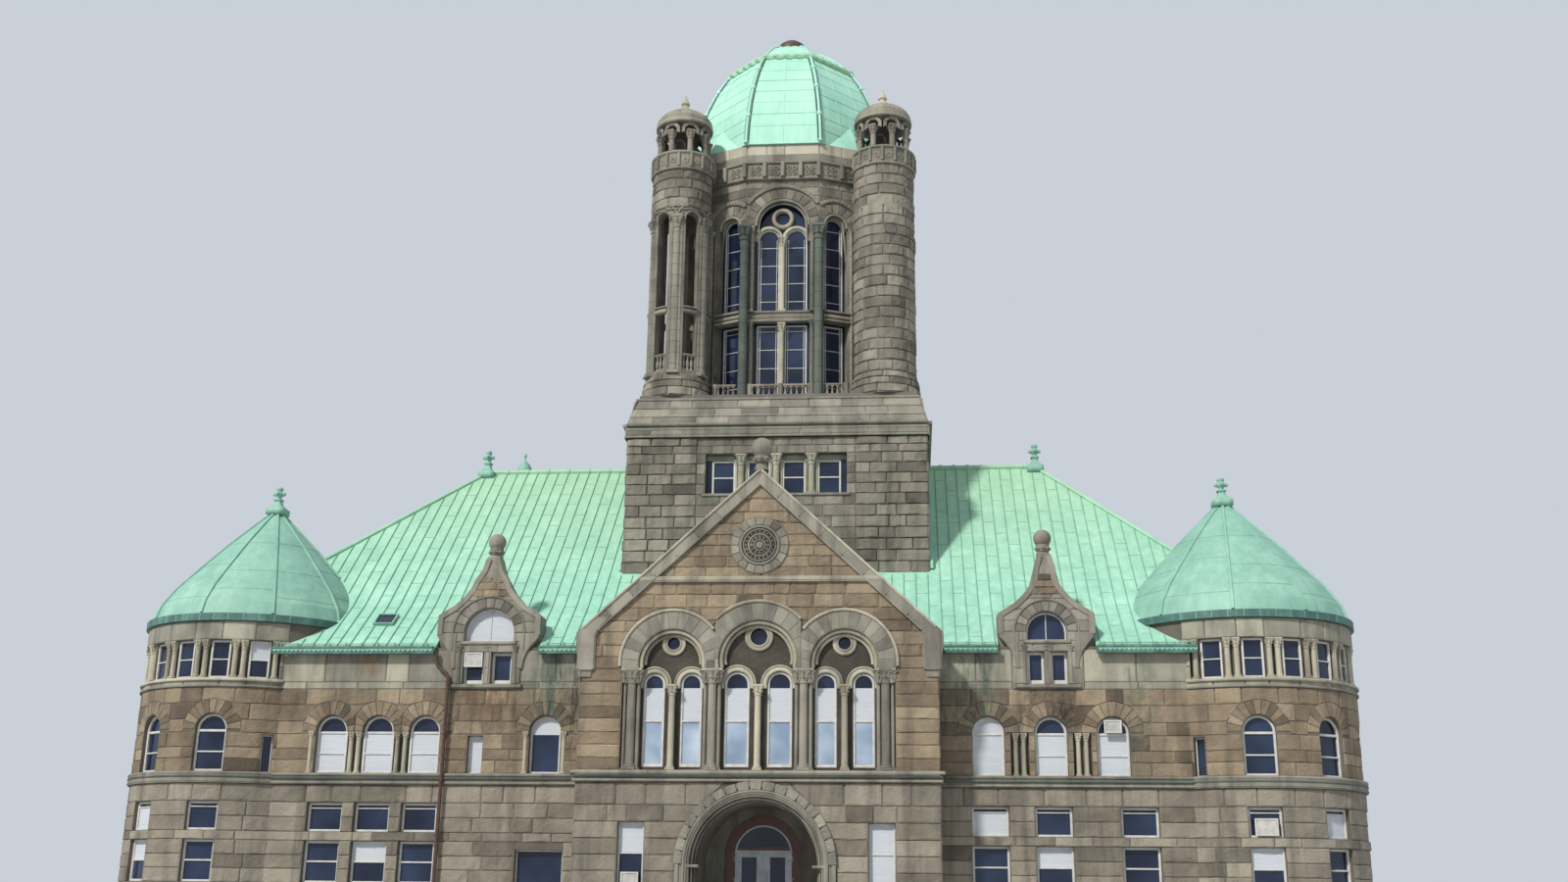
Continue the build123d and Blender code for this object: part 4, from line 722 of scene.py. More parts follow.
windows_at = [-88 - 38 * k for k in range(4)]
top_at = [-68 - 20 * k for k in range(8)]
tower_holes = {}
for name, x, mirror in (("left_round", ROUND_X[0], -1), ("right_round", ROUND_X[1], 1)):
    place = drum(x, ROUND_Y, ROUND_R)
    ends = sorted((angle_of(-223.0, mirror), angle_of(-54.5, mirror)))
    centres = [angle_of(a, mirror) for a in windows_at]
    slit = (angle_of(-60, mirror), 0.098, SILL, 3.57, 0)
    low = all_of(pair, centres, 0.29)
    high = all_of(round_head, centres) + [slit]
    glazed = sorted((angle_of(-218, mirror), angle_of(-58, mirror)))
    top = [((glazed[0] + glazed[1]) / 2, (glazed[1] - glazed[0]) / 2, 4.59, 5.30, 0)]
    tower_holes[name] = (place, centres, [angle_of(a, mirror) for a in top_at], slit)
    stones(name + "_ground_stones", place, lay(ends, GROUND, 0.6, low, 21), grey, low, proud=0.026, tone=0.6)
    stones(name + "_upper_stones", place, lay(ends, UPPER, 0.5, high, 22), brown, high)
    stones(name + "_top_stones", place, lay(ends, (BAND_FOOT, 4.59, 4.82, 5.06, 5.3, 5.65), 0.55, top, 23), band, top,
           proud=0.018, rough=0.4)
    arch_stones(name + "_arch", place, arches_over(centres), brown, 11)
print(len(made), "pieces")

# %% [markdown]
# ## The gabled pavilion
#
# The ground storey holds the great entrance arch, and the gable over it three arched windows side by side. Their
# wedge stones are smooth and grey against the brown wall, and stand on clusters of slim columns. The blocks of the
# gable are cut to the rake by the same clamp that keeps them off the arches.

# %% Pavilion stones
RAKE = (8.295 - 5.285) / 3.25
GROUND_OF_PAVILION = (0.55, 0.75, 0.95, 1.2, 1.47, 1.74, 2.02, 2.3, 2.69)
gable_half = lambda z: min(3.17, (8.05 - z) / RAKE)
gable_ends = lambda z: (-gable_half(z), gable_half(z))
entrance = [(0, 1.375, 0, 1.315, 0), (0, 1.375, 1.315, 1.315, 1.375)]
side_lights = [(x, 0.23, 0.95, 2.02, 0) for x in (-2.155, 2.155)]
low = entrance + side_lights
stones("pavilion_ground_stones", pavilion, lay((-3.17, 3.17), GROUND_OF_PAVILION, 0.6, low, 31), grey, low, proud=0.028)

arcade = [(-1.52, 0.59, 0.70), (0, 0.68, 0.86), (1.52, 0.59, 0.70)]
rings = []
for x, half, rise in arcade:
    radius = (half ** 2 + rise ** 2) / (2 * rise)
    centre = ARCADE_SPRING + rise - radius
    rings.append((x, centre, radius + 0.005, radius + 0.315, math.asin((ARCADE_SPRING - centre) / radius)))
high = [(0, 2.405, SILL, ARCADE_SPRING, 0)] + [(x, outer + 0.005, ARCADE_SPRING, z, 0)
                                               for x, z, inner, outer, start in rings]
high += [(x, outer + 0.005, z, z, outer + 0.005) for x, z, inner, outer, start in rings]
high += [(0, 3.3, 6.215, 6.285, 0), (0, 0.53, ROSETTE_Z, ROSETTE_Z, 0.53), (0, 0.53, ROSETTE_Z, ROSETTE_Z, -0.53)]
levels = (2.89, 3.1, 3.33, 3.54, 3.78, 3.98, 4.2, 4.42, 4.65, 4.86, 5.06, 5.3, 5.5, 5.73, 5.97, 6.215, 6.285, 6.47,
          6.66, ROSETTE_Z, 7.06, 7.27, 7.48, 7.72, 8.03)
stones("gable_stones", pavilion, lay(gable_ends, levels, 0.52, high, 32), brown, high, gable_ends, proud=0.026)
arch_stones("arcade_arch", flat(0, -0.04), rings, dressed, 15, [(9, 0.755), (0.755, 0.755), (0.755, 9)], proud=0.01,
            rough=0.15)
print(sum(made.values()), "triangles so far")

# %% [markdown]
# ## Dormers, great tower and lantern
#
# The tower's stone is darker and greyer. Its corner piers stand out from a sunk panel that holds the band of
# windows. Above, the lantern has twelve walls, so its courses are laid on twelve places, each turned to its own
# wall. The corner turrets flare at the foot, which a place does by letting its radius change with the height.


# %% Stones of the dormers
def dormer_outline(wide):
    """Half width of a dormer's gable at a height, from straight lines between its corners."""
    levels = np.array([4.425, 5.19, 5.191, 5.4, 5.775, 5.925, 6.255, 6.615, 6.915])
    halves = np.array([0.63, 0.63, 0.63, wide, wide, wide - 0.285, wide - 0.585, 0.19, 0.105])
    return lambda z: float(np.interp(z, levels, halves))


DORMER_WALLS = {"front": flat(0, WING_Y - 0.03), "rear": flat(0, REAR_Y + 0.03, 180)}
for side, place in DORMER_WALLS.items():
    for k, (x, wide, lunette) in enumerate(DORMERS):
        half_at = dormer_outline(wide)
        ends = lambda z: (x - half_at(z) + 0.012, x + half_at(z) - 0.012)
        lights = [(x + s * lunette * 0.56, lunette * 0.42 + 0.03, 4.515, 5.1, 0) for s in (-1, 1)]
        lights += [(x, lunette, 5.295, 5.46, 0), (x, lunette + 0.2, 5.46, 5.46, lunette + 0.2)]
        levels = (4.425, 4.515, 4.8, 5.1, 5.295, 5.46, 5.66, 5.86, 6.06, 6.26, 6.46, 6.68)
        stones(f"{side}_dormer_stones_{k + 1}", place, lay(ends, levels, 0.36, lights, 60 + k), dressed, lights, ends,
               proud=0.016, rough=0.3, tone=0.6, slot="rough_granite")
        arch_stones(f"{side}_dormer_arch_{k + 1}", place, [(x, 5.46, lunette, lunette + 0.2, 0)], dressed, 11,
                    proud=0.022, rough=0.2, slot="rough_granite")
print(len(made), "pieces")

# %% Stones of the great tower
tower_levels = np.round(np.arange(6.75, 8.62, 0.2332), 4).tolist() + [8.83, 9.04, 9.26, 9.475, 9.64, 9.81]
window_band = [(0, 1.44, 8.615, 9.475, 0)]
for k in range(4):
    place = tower_side(k)
    name = "tower_" + ("front", "right", "rear", "left")[k]
    stones(name + "_pier_stones", place, np.concatenate([lay((-3.075, -1.62), tower_levels, 0.5, (), 70 + k),
                                                         lay((1.62, 3.075), tower_levels, 0.5, (), 80 + k)]), tower,
           proud=0.05, rough=0.45, seed=70 + k)
    stones(name + "_panel_stones", place, lay((-1.62, 1.62), tower_levels, 0.48, window_band, 90 + k), tower,
           proud=0.02, rough=0.4, seed=90 + k)
print(sum(made.values()), "triangles so far")

# %% Stones of the lantern
quarter = [(-0.8, -2.15), (0.8, -2.15), (1.72, -1.72)]
corners = []
for k in range(4):
    c, s = round(math.cos(math.pi / 2 * k)), round(math.sin(math.pi / 2 * k))
    corners += [(x * c - y * s, x * s + y * c) for x, y in quarter]
lantern = []
for (x0, y0), (x1, y1) in zip(corners, corners[1:] + corners[:1]):
    lantern.append((flat((x0 + x1) / 2, TOWER_Y + (y0 + y1) / 2, math.degrees(math.atan2(y1 - y0, x1 - x0))),
                    math.hypot(x1 - x0, y1 - y0) / 2))
ring = 0.24
lantern_levels = [10.8 + 0.2594 * k for k in range(17)] + [15.21, 15.42, 15.62, 15.82, 16.02]
for i, (place, half_wall) in enumerate(lantern):
    u, half = ((0, 0.61), (-0.11, 0.29), (0.11, 0.29))[i % 3]
    holes = [(u, half, LANTERN_FOOT, LANTERN_SPRING, 0), (u, half + ring + 0.1, LANTERN_SPRING, LANTERN_SPRING,
                                                          half + ring + 0.1)]
    stones(f"lantern_stones_{i + 1}", place, lay((-half_wall, half_wall), lantern_levels, 0.42, holes, 100 + i), tower,
           holes, proud=0.016, rough=0.35, seed=100 + i)
    reach = (half_wall + u - 0.004, half_wall - u - 0.004)
    arch_stones(f"lantern_arch_{i + 1}", place, [(u, LANTERN_SPRING, half, half + ring, 0)], tower,
                13 if i % 3 == 0 else 9, reach, rough=0.2, slot="dressed_granite")
print(sum(made.values()), "triangles so far")


# %% Stones of the turrets
def column_of(x, y, heights, radii):
    """(u, out, z) round an upright axis where the radius follows the height; u is in radians."""
    def at(u, out, z):
        r = np.interp(z, heights, radii) + out
        return np.stack([x + r * np.cos(u), y + r * np.sin(u), z + 0 * u], -1)
    return at


TURRETS = [(sx * 2.215, TOWER_Y + sy * 2.215, math.atan2(sy, sx)) for sx, sy in ((-1, -1), (1, -1), (1, 1), (-1, 1))]
turret_levels = [10.81, 11.0, 11.15, 11.3] + [11.3 + 0.2354 * k for k in range(1, 21)]
for k, (x, y, away) in enumerate(TURRETS):
    place = column_of(x, y, (LANTERN_FOOT, 11.15, 11.3, 16.005, 16.02, 16.425), (0.72, 0.69, 0.64, 0.64, 0.68, 0.68))
    reach = 2.25
    levels = turret_levels[:4] if k == 0 else turret_levels
    blocks = [lay((away - reach, away + reach), levels, 0.75, (), 120 + k)]
    if k == 0:
        blocks.append(lay((away - reach, away + reach), [15.1, 15.33, 15.56, 15.78, 16.0], 0.75, (), 125))
    stones(f"turret_stones_{k + 1}", place, np.concatenate(blocks), tower, gap=0.012, proud=0.045, rough=0.6,
           seed=120 + k)
    cap_place = column_of(x, y, (17.2, 17.302, 17.398, 17.501, 17.584, 17.642, 17.674),
                          (0.63, 0.63, 0.602, 0.531, 0.419, 0.282, 0.122))
    blocks = lay((away - math.pi, away + math.pi), (17.2, 17.36, 17.5, 17.64), 0.8, (), 130 + k)
    stones(f"turret_cap_stones_{k + 1}", cap_place, blocks, dressed, gap=0.01, proud=0.008, rough=0.2, seed=130 + k,
           tone=0.65)
    little = [(math.pi / 4 * (j + 0.5) * 0.56, 17.0, 0.125, 0.2195, -0.35) for j in range(8)]
    arch_stones(f"turret_arch_{k + 1}", drum(x, y, 0.56), little, dressed, 5, (0.2195, 0.2195), rough=0.2, grid=(5, 5))
print(sum(made.values()), "triangles,", len(made), "pieces")


# %% [markdown]
# ## Swept and turned shapes
#
# Frames, mouldings, rings and bars are all one idea: a small profile carried along a path in the wall. Columns,
# balusters and finials are another: a profile turned about an upright axis, with square rows for foot blocks and
# waved rows for leaves. Modifiers could sweep and turn as well, but arrays keep hundreds of them in one mesh.


# %% Swept and turned shapes
def outward(points, faces):
    """The same closed mesh with its faces turned outward, by the sign of the volume that they enclose."""
    p = (points - points.mean(0))[faces]
    volume = np.einsum("ij,ij", p[:, 0], np.cross(p[:, 1], p[:, 2]) + np.cross(p[:, 2], p[:, 3]))
    return points, faces if volume > 0 else faces[:, ::-1]


def bar(width, low, high):
    """Profile of a bar with softened front edges: rows of (across, out)."""
    w, c = width / 2, 0.22 * min(width, high - low)
    return [(-w, low), (-w, high - c), (c - w, high), (w - c, high), (w, high - c), (w, low)]


def roll(radius, out, across=0.0, count=8):
    """Profile of a round moulding."""
    a = np.linspace(0, 2 * math.pi, count, endpoint=False)
    return np.stack([across + radius * np.cos(a), out + radius * np.sin(a)], 1)


def capped(*arrays):
    """Arrays of rows, each with a row before and after in which all points lie in the middle of the end row."""
    tip = lambda v: np.repeat(v.mean(1, keepdims=True), v.shape[1], 1)
    return [np.concatenate([tip(v[:1]), v, tip(v[-1:])]) for v in arrays]


def strip(place, path, profile, closed=False):
    """A profile of (across, out) carried along a path of (u, z): at each point of the path, with n its normal in
    the wall, (u, z) = path + across * n. The ends of an open strip are drawn to a point."""
    path, profile = np.asarray(path, float), np.asarray(profile, float)
    ahead = np.roll(path, -1, 0) - path
    if not closed:
        ahead[-1] = ahead[-2]
    unit = lambda v: v / np.linalg.norm(v, axis=1, keepdims=True)
    ahead = unit(ahead)
    back = np.roll(ahead, 1, 0)
    if not closed:
        back[0] = ahead[0]
    mid = unit(ahead + back)
    normal = np.stack([-mid[:, 1], mid[:, 0]], 1) / np.einsum("ij,ij->i", mid, ahead)[:, None]
    rows = path[:, None] + normal[:, None] * profile[None, :, :1]
    out = np.repeat(profile[None, :, 1], len(path), 0)
    if not closed:
        rows, out = capped(rows, out)
    return outward(place(rows[..., 0], out, rows[..., 1]).reshape(-1, 3), lattice(*out.shape, True, closed))


def across(place, z, u0, u1, profile):
    """A level strip."""
    return strip(place, [(u0, z), (u1, z)], profile)


def upward(place, u, z0, z1, profile):
    """An upright strip."""
    return strip(place, [(u, z0), (u, z1)], profile)


def hoop(x, y, radius, z, profile, count):
    """A strip all round an upright cylinder at one level."""
    a = np.linspace(0, 2 * math.pi, count)
    return strip(drum(x, y, radius), np.stack([radius * a, 0 * a + z], 1), profile)


def outline(u, half, foot, spring, rise=0.0, inset=0.0, count=14):
    """The closed edge of an opening with a square or an arched head, moved inward by an inset."""
    h, low, up = half - inset, foot + inset, rise - inset
    if not rise:
        return np.array([(u - h, low), (u + h, low), (u + h, spring - inset), (u - h, spring - inset)])
    radius = (h * h + up * up) / (2 * up)
    start = math.asin(min(1, max(0, (radius - up) / radius)))
    a = np.linspace(start, math.pi - start, count)
    arc = np.stack([u + radius * np.cos(a), spring + up - radius + radius * np.sin(a)], 1)
    return np.concatenate([[(u - h, low), (u + h, low)], arc])


def circle(u, z, radius, start=0.0, end=2 * math.pi, count=24):
    a = np.linspace(start, end, count, endpoint=end - start < 6.28)
    return np.stack([u + radius * np.cos(a), z + radius * np.sin(a)], 1)


def sheet(place, u, half, low, high, spring, rise, front, back, slats=0.0, rows=9):
    """A plate in an opening between two levels, as wide at each level as the opening's head leaves it:
    half * sqrt(1 - ((z - spring) / rise)^2) over the spring. Slats make its front wave with the height."""
    z = np.linspace(low, high, rows)
    past = np.clip((z - spring) / rise, 0, 0.9999) if rise else 0 * z
    wide = (half * np.sqrt(1 - past ** 2))[:, None]
    wave = (np.arange(rows) % 2 * slats)[:, None]
    ring = np.array([(-1, back), (-1, front), (-0.9, front), (0.9, front), (1, front), (1, back)])
    middle = np.array([0, 0, 1, 1, 0, 0])
    x, out, level = capped(u + wide * ring[:, 0], ring[:, 1] + wave * middle, np.repeat(z[:, None], 6, 1))
    return outward(place(x, out, level).reshape(-1, 3), lattice(*x.shape, True))


def turned(profile, centres, sides=16, turns=0.0):
    """Copies of a shape turned about upright axes. With rows of (radius, height, square, leaf) and an angle a,
    r = radius * (1 + square * (1 / max(|cos a|, |sin a|) - 1)) * (1 + leaf * cos 8a)."""
    rows = np.array([tuple(row) + (0,) * (4 - len(row)) for row in profile], float)
    a = 2 * math.pi * np.arange(sides) / sides
    corner = 1 / np.maximum(np.abs(np.cos(a)), np.abs(np.sin(a))) - 1
    r = rows[:, :1] * (1 + rows[:, 2:3] * corner) * (1 + rows[:, 3:4] * np.cos(8 * a))
    centres = np.asarray(centres, float).reshape(-1, 1, 1, 3)
    angle = np.radians(np.broadcast_to(turns, len(centres)))[:, None, None] + a
    points = np.stack(np.broadcast_arrays(centres[..., 0] + r * np.cos(angle), centres[..., 1] + r * np.sin(angle),
                                          centres[..., 2] + rows[:, 1:2]), -1)
    each = len(rows) * sides
    first, faces = outward(points[0].reshape(-1, 3), lattice(len(rows), sides, True))
    return points.reshape(-1, 3), many(each, faces, len(centres))


def assemble(name, parts, material, seed=1, **options):
    """Several closed shapes as one piece, each with a stone tone of its own."""
    points, faces = join(parts)
    tones = np.random.default_rng(seed).uniform(0.25, 0.8, len(parts))
    return build(name, points, faces, material, tone=np.repeat(tones, [len(part[0]) for part in parts]), **options)


print("sweeps and turnings ready")

# %% [markdown]
# ## Windows
#
# Each opening gets a white frame with its rails, set in front of the dark pane. Behind some rails hangs a white
# blind, and two windows carry a louvred cooling box. Everything is cut from the same opening lists as the stones.
# Modelling the frames keeps their edges crisp from any side, where a painted frame would turn flat in close views.


# %% Windows of the wings and towers
frames, blinds, bright, boxes = [], [], [], []


def facet(k, degrees):
    """The flat place of a window in a round tower, at the angle given for the left tower."""
    turn = degrees if k == 0 else -180 - degrees
    return facing(ROUND_X[k], ROUND_Y, ROUND_R, math.radians(turn), turn + 90)


def window(place, u, half, foot, spring, rise=0.0, rails=(), panes=(), wide=0.045, depth=0.125):
    """A frame with level rails as (z, size), and panes as (list, low, high) in front of the glass."""
    back, face = -depth - 0.004, 0.04 - depth
    frames.append(strip(place, outline(u, half, foot, spring, rise, wide / 2), bar(wide, back, face), closed=True))
    for z, size in rails:
        past = max(0, (z - spring) / rise) if rise else 0
        reach = half * math.sqrt(1 - past ** 2) - wide * 0.6
        frames.append(across(place, z, u - reach, u + reach, bar(size, back, face - 0.008)))
    for pane, low, high in panes:
        pane.append(sheet(place, u, half - wide * 0.6, low, high, spring, rise - wide * 0.6 if rise else 0,
                          0.012 - depth, back))


def cooling_box(place, u, low, high, half, out=0.03):
    boxes.append(sheet(place, u, half, low, high, high, 0, out, -0.13, -0.008, 24))
    frames.append(strip(place, outline(u, half + 0.02, low - 0.02, high + 0.02), bar(0.03, out - 0.03, out + 0.006),
                        closed=True))


ARCHED = (ROUND_HALF, SILL, SPRING, ROUND_HALF)
SASH = ((3.63, 0.045), (3.25, 0.028))
styles = {
    "blind": (SASH, [(blinds, 2.93, 3.61)]), "dark": (SASH, []), "white_top": ((), [(blinds, 3.6, 3.895)]),
    "blank": (SASH[:1], [(blinds, 2.93, 3.895)]), "half": (SASH, [(blinds, 3.26, 3.61)]),
}
upper = [(front, u, "blind") for u in LEFT_BAYS] + [(front, LEFT_SINGLE, "white_top")]
upper += list(zip([front] * 3, RIGHT_BAYS, ("blank", "blind", "blind")))
upper += [(facet(k, a), 0, "dark") for k in (0, 1) for a in windows_at]
upper += [(wall, u, ("half", "dark", "blind")[i % 3]) for wall, us in (
    (left, [-u for u in side_u]), (right_side, side_u), (rear, rear_u)) for i, u in enumerate(us)]
for place, u, style in upper:
    window(place, u, *ARCHED, *styles[style])
cooling_box(front, RIGHT_BAYS[2], 3.68, 3.84, 0.12)

lower = [(front, u, 0.33) for u in LEFT_BAYS + RIGHT_LOW]
lower += [(facet(k, a), 0, 0.29) for k in (0, 1) for a in windows_at]
lower += [(wall, u, 0.33) for wall, us in ((left, [-u for u in side_u]), (right_side, side_u), (rear, rear_u))
          for u in us]
for i, (place, u, half) in enumerate(lower):
    window(place, u, half, 0.95, 1.695, 0, ((1.33, 0.03),), [(blinds, 1.34, 1.66)] if i % 3 == 1 else ())
    window(place, u, half, 1.85, 2.37, 0, ((2.27, 0.022),), [(blinds, 1.88, 2.26)] if i % 4 == 3 else ())
cooling_box(facet(1, -88), 0, 1.92, 2.14, 0.16)
window(front, LEFT_SLIT, 0.14, SILL, 3.57, 0, (), [(blinds, 2.92, 3.54)], 0.03)
window(front, LEFT_SINGLE, 0.435, 0.95, 1.565, 0, (), [], 0.03)
for k in (0, 1):
    window(facet(k, -60), 0, 0.098, SILL, 3.57, 0, (), [], 0.022)
    for i, a in enumerate(top_at):
        window(facet(k, a), 0, 0.19, 4.59, 5.30, 0, ((4.94, 0.022),),
               [(blinds, 4.95, 5.28)] if (k, i) == (0, 0) else (), 0.04)
for x in (-2.155, 2.155):
    window(pavilion, x, 0.23, 0.95, 2.02, 0, ((1.5, 0.03),), [(blinds, 1.52 if x < 0 else 0.98, 1.99)], 0.035)
cooling_box(pavilion, -2.155, 0.99, 1.15, 0.12, -0.02)
for wall, sign in ((front, 1), (rear, 1)):
    for k, (x, wide, lunette) in enumerate(DORMERS):
        for s in (-1, 1):
            window(wall, x + s * lunette * 0.56, lunette * 0.42, 4.515, 5.1, 0, ((4.57, 0.05),), [], 0.05)
        window(wall, x, lunette, 5.295, 5.46, lunette, (), [(blinds, 5.33, 5.46 + lunette * 0.9)] if k == 0 else (),
               0.035)
        frames.append(upward(wall, x, 5.3, 5.46 + lunette * 0.93, bar(0.018, -0.13, -0.1)))
cooling_box(front, -5.14 - 0.47 * 0.56, 4.86, 5.06, 0.14)
for k in range(4):
    face = tower_side(k)
    for i in range(4):
        window(face, -1.08 + 0.72 * i, 0.24, 8.63, 9.36, 0, ((9.0, 0.03),), [], 0.04, 0.19)
assemble("window_frames", frames, white)
print(len(frames), "frame members")

# %% Windows of the arcade
frames = []
for x, half, rise in arcade:
    lancet, off = (0.225, 0.3775) if half > 0.6 else (0.195, 0.3325)
    for s in (-1, 1):
        window(pavilion, x + s * off, lancet, 2.95, 4.395, lancet, ((3.75, 0.035), (2.99, 0.05)),
               [(blinds, 3.77, 4.33), (bright, 3.02, 3.73)], 0.045, 0.2203)
assemble("arcade_frames", frames, white)
assemble("window_blinds", blinds, blind)
# These panes carry a painted reflection of the sky.
assemble("bright_panes", bright, sky_glass)
assemble("cooling_boxes", boxes, white)
print(sum(made.values()), "triangles so far")

# %% [markdown]
# ## Columns and balusters
#
# The arcade, the round towers and the lantern live on their columns: stout ones with leafy capitals, slim ones beside
# them, and two tall green-stained ones up the front of the lantern. The solids only hold an eight-sided stand-in for
# each. Turning every column from one list of rows gives the foot block, the rounds, the leaves and the slab.


# %% Columns
def column(r, foot, head, leaf=0.14):
    """Rows from the foot block to the slab over the leaves, all in shares of the shaft's radius."""
    return [(0, foot), (1.4 * r, foot, 1), (1.4 * r, foot + 0.5 * r, 1), (1.32 * r, foot + 0.55 * r),
            (1.42 * r, foot + 0.75 * r), (1.3 * r, foot + 0.95 * r), (1.08 * r, foot + 1.1 * r),
            (1.18 * r, foot + 1.3 * r), (r, foot + 1.5 * r), (0.94 * r, head - 3.35 * r), (1.16 * r, head - 3.3 * r),
            (1.16 * r, head - 3.1 * r), (0.96 * r, head - 3 * r), (1.05 * r, head - 2.4 * r, 0, 0.7 * leaf),
            (1.42 * r, head - 1.95 * r, 0, leaf), (1.12 * r, head - 1.75 * r, 0.2, 0.3 * leaf),
            (1.3 * r, head - 1.25 * r, 0.4, 0.8 * leaf), (1.5 * r, head - 0.8 * r, 0.7, leaf),
            (1.25 * r, head - 0.62 * r, 1), (1.45 * r, head - 0.5 * r, 1), (1.45 * r, head, 1), (0, head)]


def spot(place, u, out):
    """The foot of an upright axis in the frame."""
    return place(np.array([float(u)]), np.array([float(out)]), np.array([0.0]))


def post(place, u, out, r, foot, head, **more):
    """One column with its foot block square to the wall that it stands in."""
    return turned(column(r, foot, head, **more), spot(place, u, out), turns=place.turn)


small = []
for bays in (LEFT_BAYS, RIGHT_BAYS):
    for a, b in zip(bays, bays[1:]):
        small += [post(front, (a + b) / 2 + s * 0.07, -0.0625, 0.042, SILL, SPRING) for s in (-1, 1)]
small += [post(front, u, 0.0, 0.036, 2.9, SPRING) for u in (-8.36, -5.86, LEFT_SINGLE - 0.355, LEFT_SINGLE + 0.355)]
for k in (0, 1):
    for a in range(-58, -219, -20):
        small += [post(facet(k, a), s * 0.078, -0.06, 0.05, 4.59, 5.30) for s in (-1, 1)]
stout = []
for k in range(4):
    face = tower_side(k)
    for u in (-0.72, 0, 0.72):
        stout.append(post(face, u, -0.085, 0.068, 8.615, 9.475))
        stout += [post(face, u + s * 0.1, -0.15, 0.032, 8.615, 9.37) for s in (-1, 1)]
assemble("wall_columns", small + stout, cream, stands_for=("wall_colonnettes",), smooth=False)

middle_posts = [post(pavilion, x, -0.0625, 0.058, 2.9, 4.375, leaf=0.2) for x, half, rise in arcade]
assemble("arcade_middle_columns", middle_posts, cream)
cluster, CLUSTERS = [], (-2.235, -0.805, 0.805, 2.235)
for x in CLUSTERS:
    cluster.append(post(pavilion, x, -0.045, 0.078, 2.9, ARCADE_SPRING))
    cluster += [post(pavilion, x + s * 0.122, -0.075, 0.036, 2.9, ARCADE_SPRING) for s in (-1, 1)]
cluster += [post(pavilion, s * 1.105, -0.31, 0.05, 0.56, 1.315) for s in (-1, 1)]
assemble("arcade_clusters", cluster, dressed, stands_for=("arcade_columns",))

tall, slim, little, bright_posts = [], [], [], []
for i, (place, half_wall) in enumerate(lantern):
    if i % 3 == 0:
        for low, high in ((10.85, 12.66), (12.93, 14.66)):
            bright_posts.append(post(place, 0, -0.06, 0.058, low, high, leaf=0.2))
        tall += [post(place, s * 0.81, 0.145, 0.1, LANTERN_FOOT, 14.85) for s in (-1, 1)]
        for s in (-1, 0, 1):
            depth = -0.1 if s == 0 else 0.02
            slim.append(post(place, s * 0.665, depth, 0.045, 11.0, 12.7))
            slim.append(post(place, s * 0.665, depth, 0.045, 12.9, 14.6 if s == 0 else 14.9))
    else:
        s = 1 if i % 3 == 1 else -1
        slim += [post(place, s * (0.235 + 0.09 * j), 0.05 + 0.02 * (j == 1), 0.041, LANTERN_FOOT, LANTERN_SPRING)
                 for j in range(3)]
        slim.append(post(place, -s * 0.435, 0.02, 0.035, LANTERN_FOOT, LANTERN_SPRING))
for x, y, away in TURRETS:
    for j in range(8):
        a = math.pi / 4 * (j + 0.5)
        little.append(post(facing(x, y, 0.54, a, math.degrees(a) + 90), 0, 0, 0.062, 16.425, 17.0))
x, y, away = TURRETS[0]
for j in range(6):
    a = math.radians(30 + 60 * j)
    for r, side in ((0.085, 0), (0.04, 0.16), (0.04, -0.16)):
        slim.append(post(facing(x, y, 0.6, a + side, math.degrees(a) + 90), 0, 0.02, r, 11.3, 14.9))
assemble("lantern_tall_columns", tall, stained, stands_for=("lantern_columns",))
assemble("lantern_slim_columns", slim, shafts)
assemble("belvedere_columns", little, dressed)
assemble("lantern_middle_columns", bright_posts, cream)
print(len(small) + len(stout) + len(cluster) + len(tall) + len(slim) + len(little), "columns")

# %% Balustrade
BALUSTER = [(0, 10.85), (0.03, 10.85, 1), (0.03, 10.88, 1), (0.017, 10.9), (0.03, 10.95), (0.034, 10.99),
            (0.028, 11.04), (0.015, 11.09), (0.02, 11.1), (0.015, 11.12), (0.026, 11.145), (0.03, 11.15, 1),
            (0.03, 11.175, 1), (0, 11.175)]
rails = []
for k in range(0, 12, 3):
    place = lantern[k][0]
    for u0, u1, count in ((-1.37, -0.95, 4), (-0.65, -0.06, 5), (0.06, 0.65, 5), (0.95, 1.37, 4)):
        for z, thick, low, high in ((11.2, 0.05, 0.05, 0.135), (10.83, 0.06, 0.05, 0.13)):
            rails.append(across(place, z, u0, u1, bar(thick, low, high)))
        u = np.linspace(u0 + 0.05, u1 - 0.05, count)
        rails.append(turned(BALUSTER, place(u, 0 * u + 0.095, 0 * u), 8))
    for u in (-1.4, -0.66, 0, 0.66, 1.4):
        rails.append(upward(place, u, LANTERN_FOOT, 11.235, bar(0.1, 0.03, 0.14)))
assemble("balusters", rails, dressed, stands_for=("balustrade",))

# %% [markdown]
# ## Tracery and carving
#
# Two small arches and a ring stand under each big arch, in the arcade and again in the lantern. Rolls follow the
# big arches, a carved label runs over them, and a frieze of small rosettes between brackets ties the lantern to its
# turrets. A rosette is a disc whose height is a product of waves round it and across it.


# %% Tracery and carving
def arch_line(u, half, foot, spring, rise, inset=0.0, count=20):
    """The open line up one side of an opening, over its head and down the other side."""
    edge = outline(u, half, foot, spring, rise, inset, count)
    return np.concatenate([edge[1:], edge[:1]])


def boss(place, u, z, radius, out, depth, lobes=8, rings=9, around=32):
    """A round carving: out + depth * (1 - t^4) * (0.6 + 0.4 cos(lobes a + 5 t) sin(3 pi t)), with t = r / radius,
    its edge sunk into the wall."""
    t = np.linspace(0, 1, rings)[:, None]
    a = np.linspace(0, 2 * math.pi, around, endpoint=False)[None, :]
    relief = out + depth * (1 - t ** 4) * (0.6 + 0.4 * np.cos(lobes * a + 5 * t) * np.sin(3 * math.pi * t))
    relief[-1] = out - depth
    points = place(u + radius * t * np.cos(a), relief, z + radius * t * np.sin(a)).reshape(-1, 3)
    return points, lattice(rings, around, True)[:, ::-1]


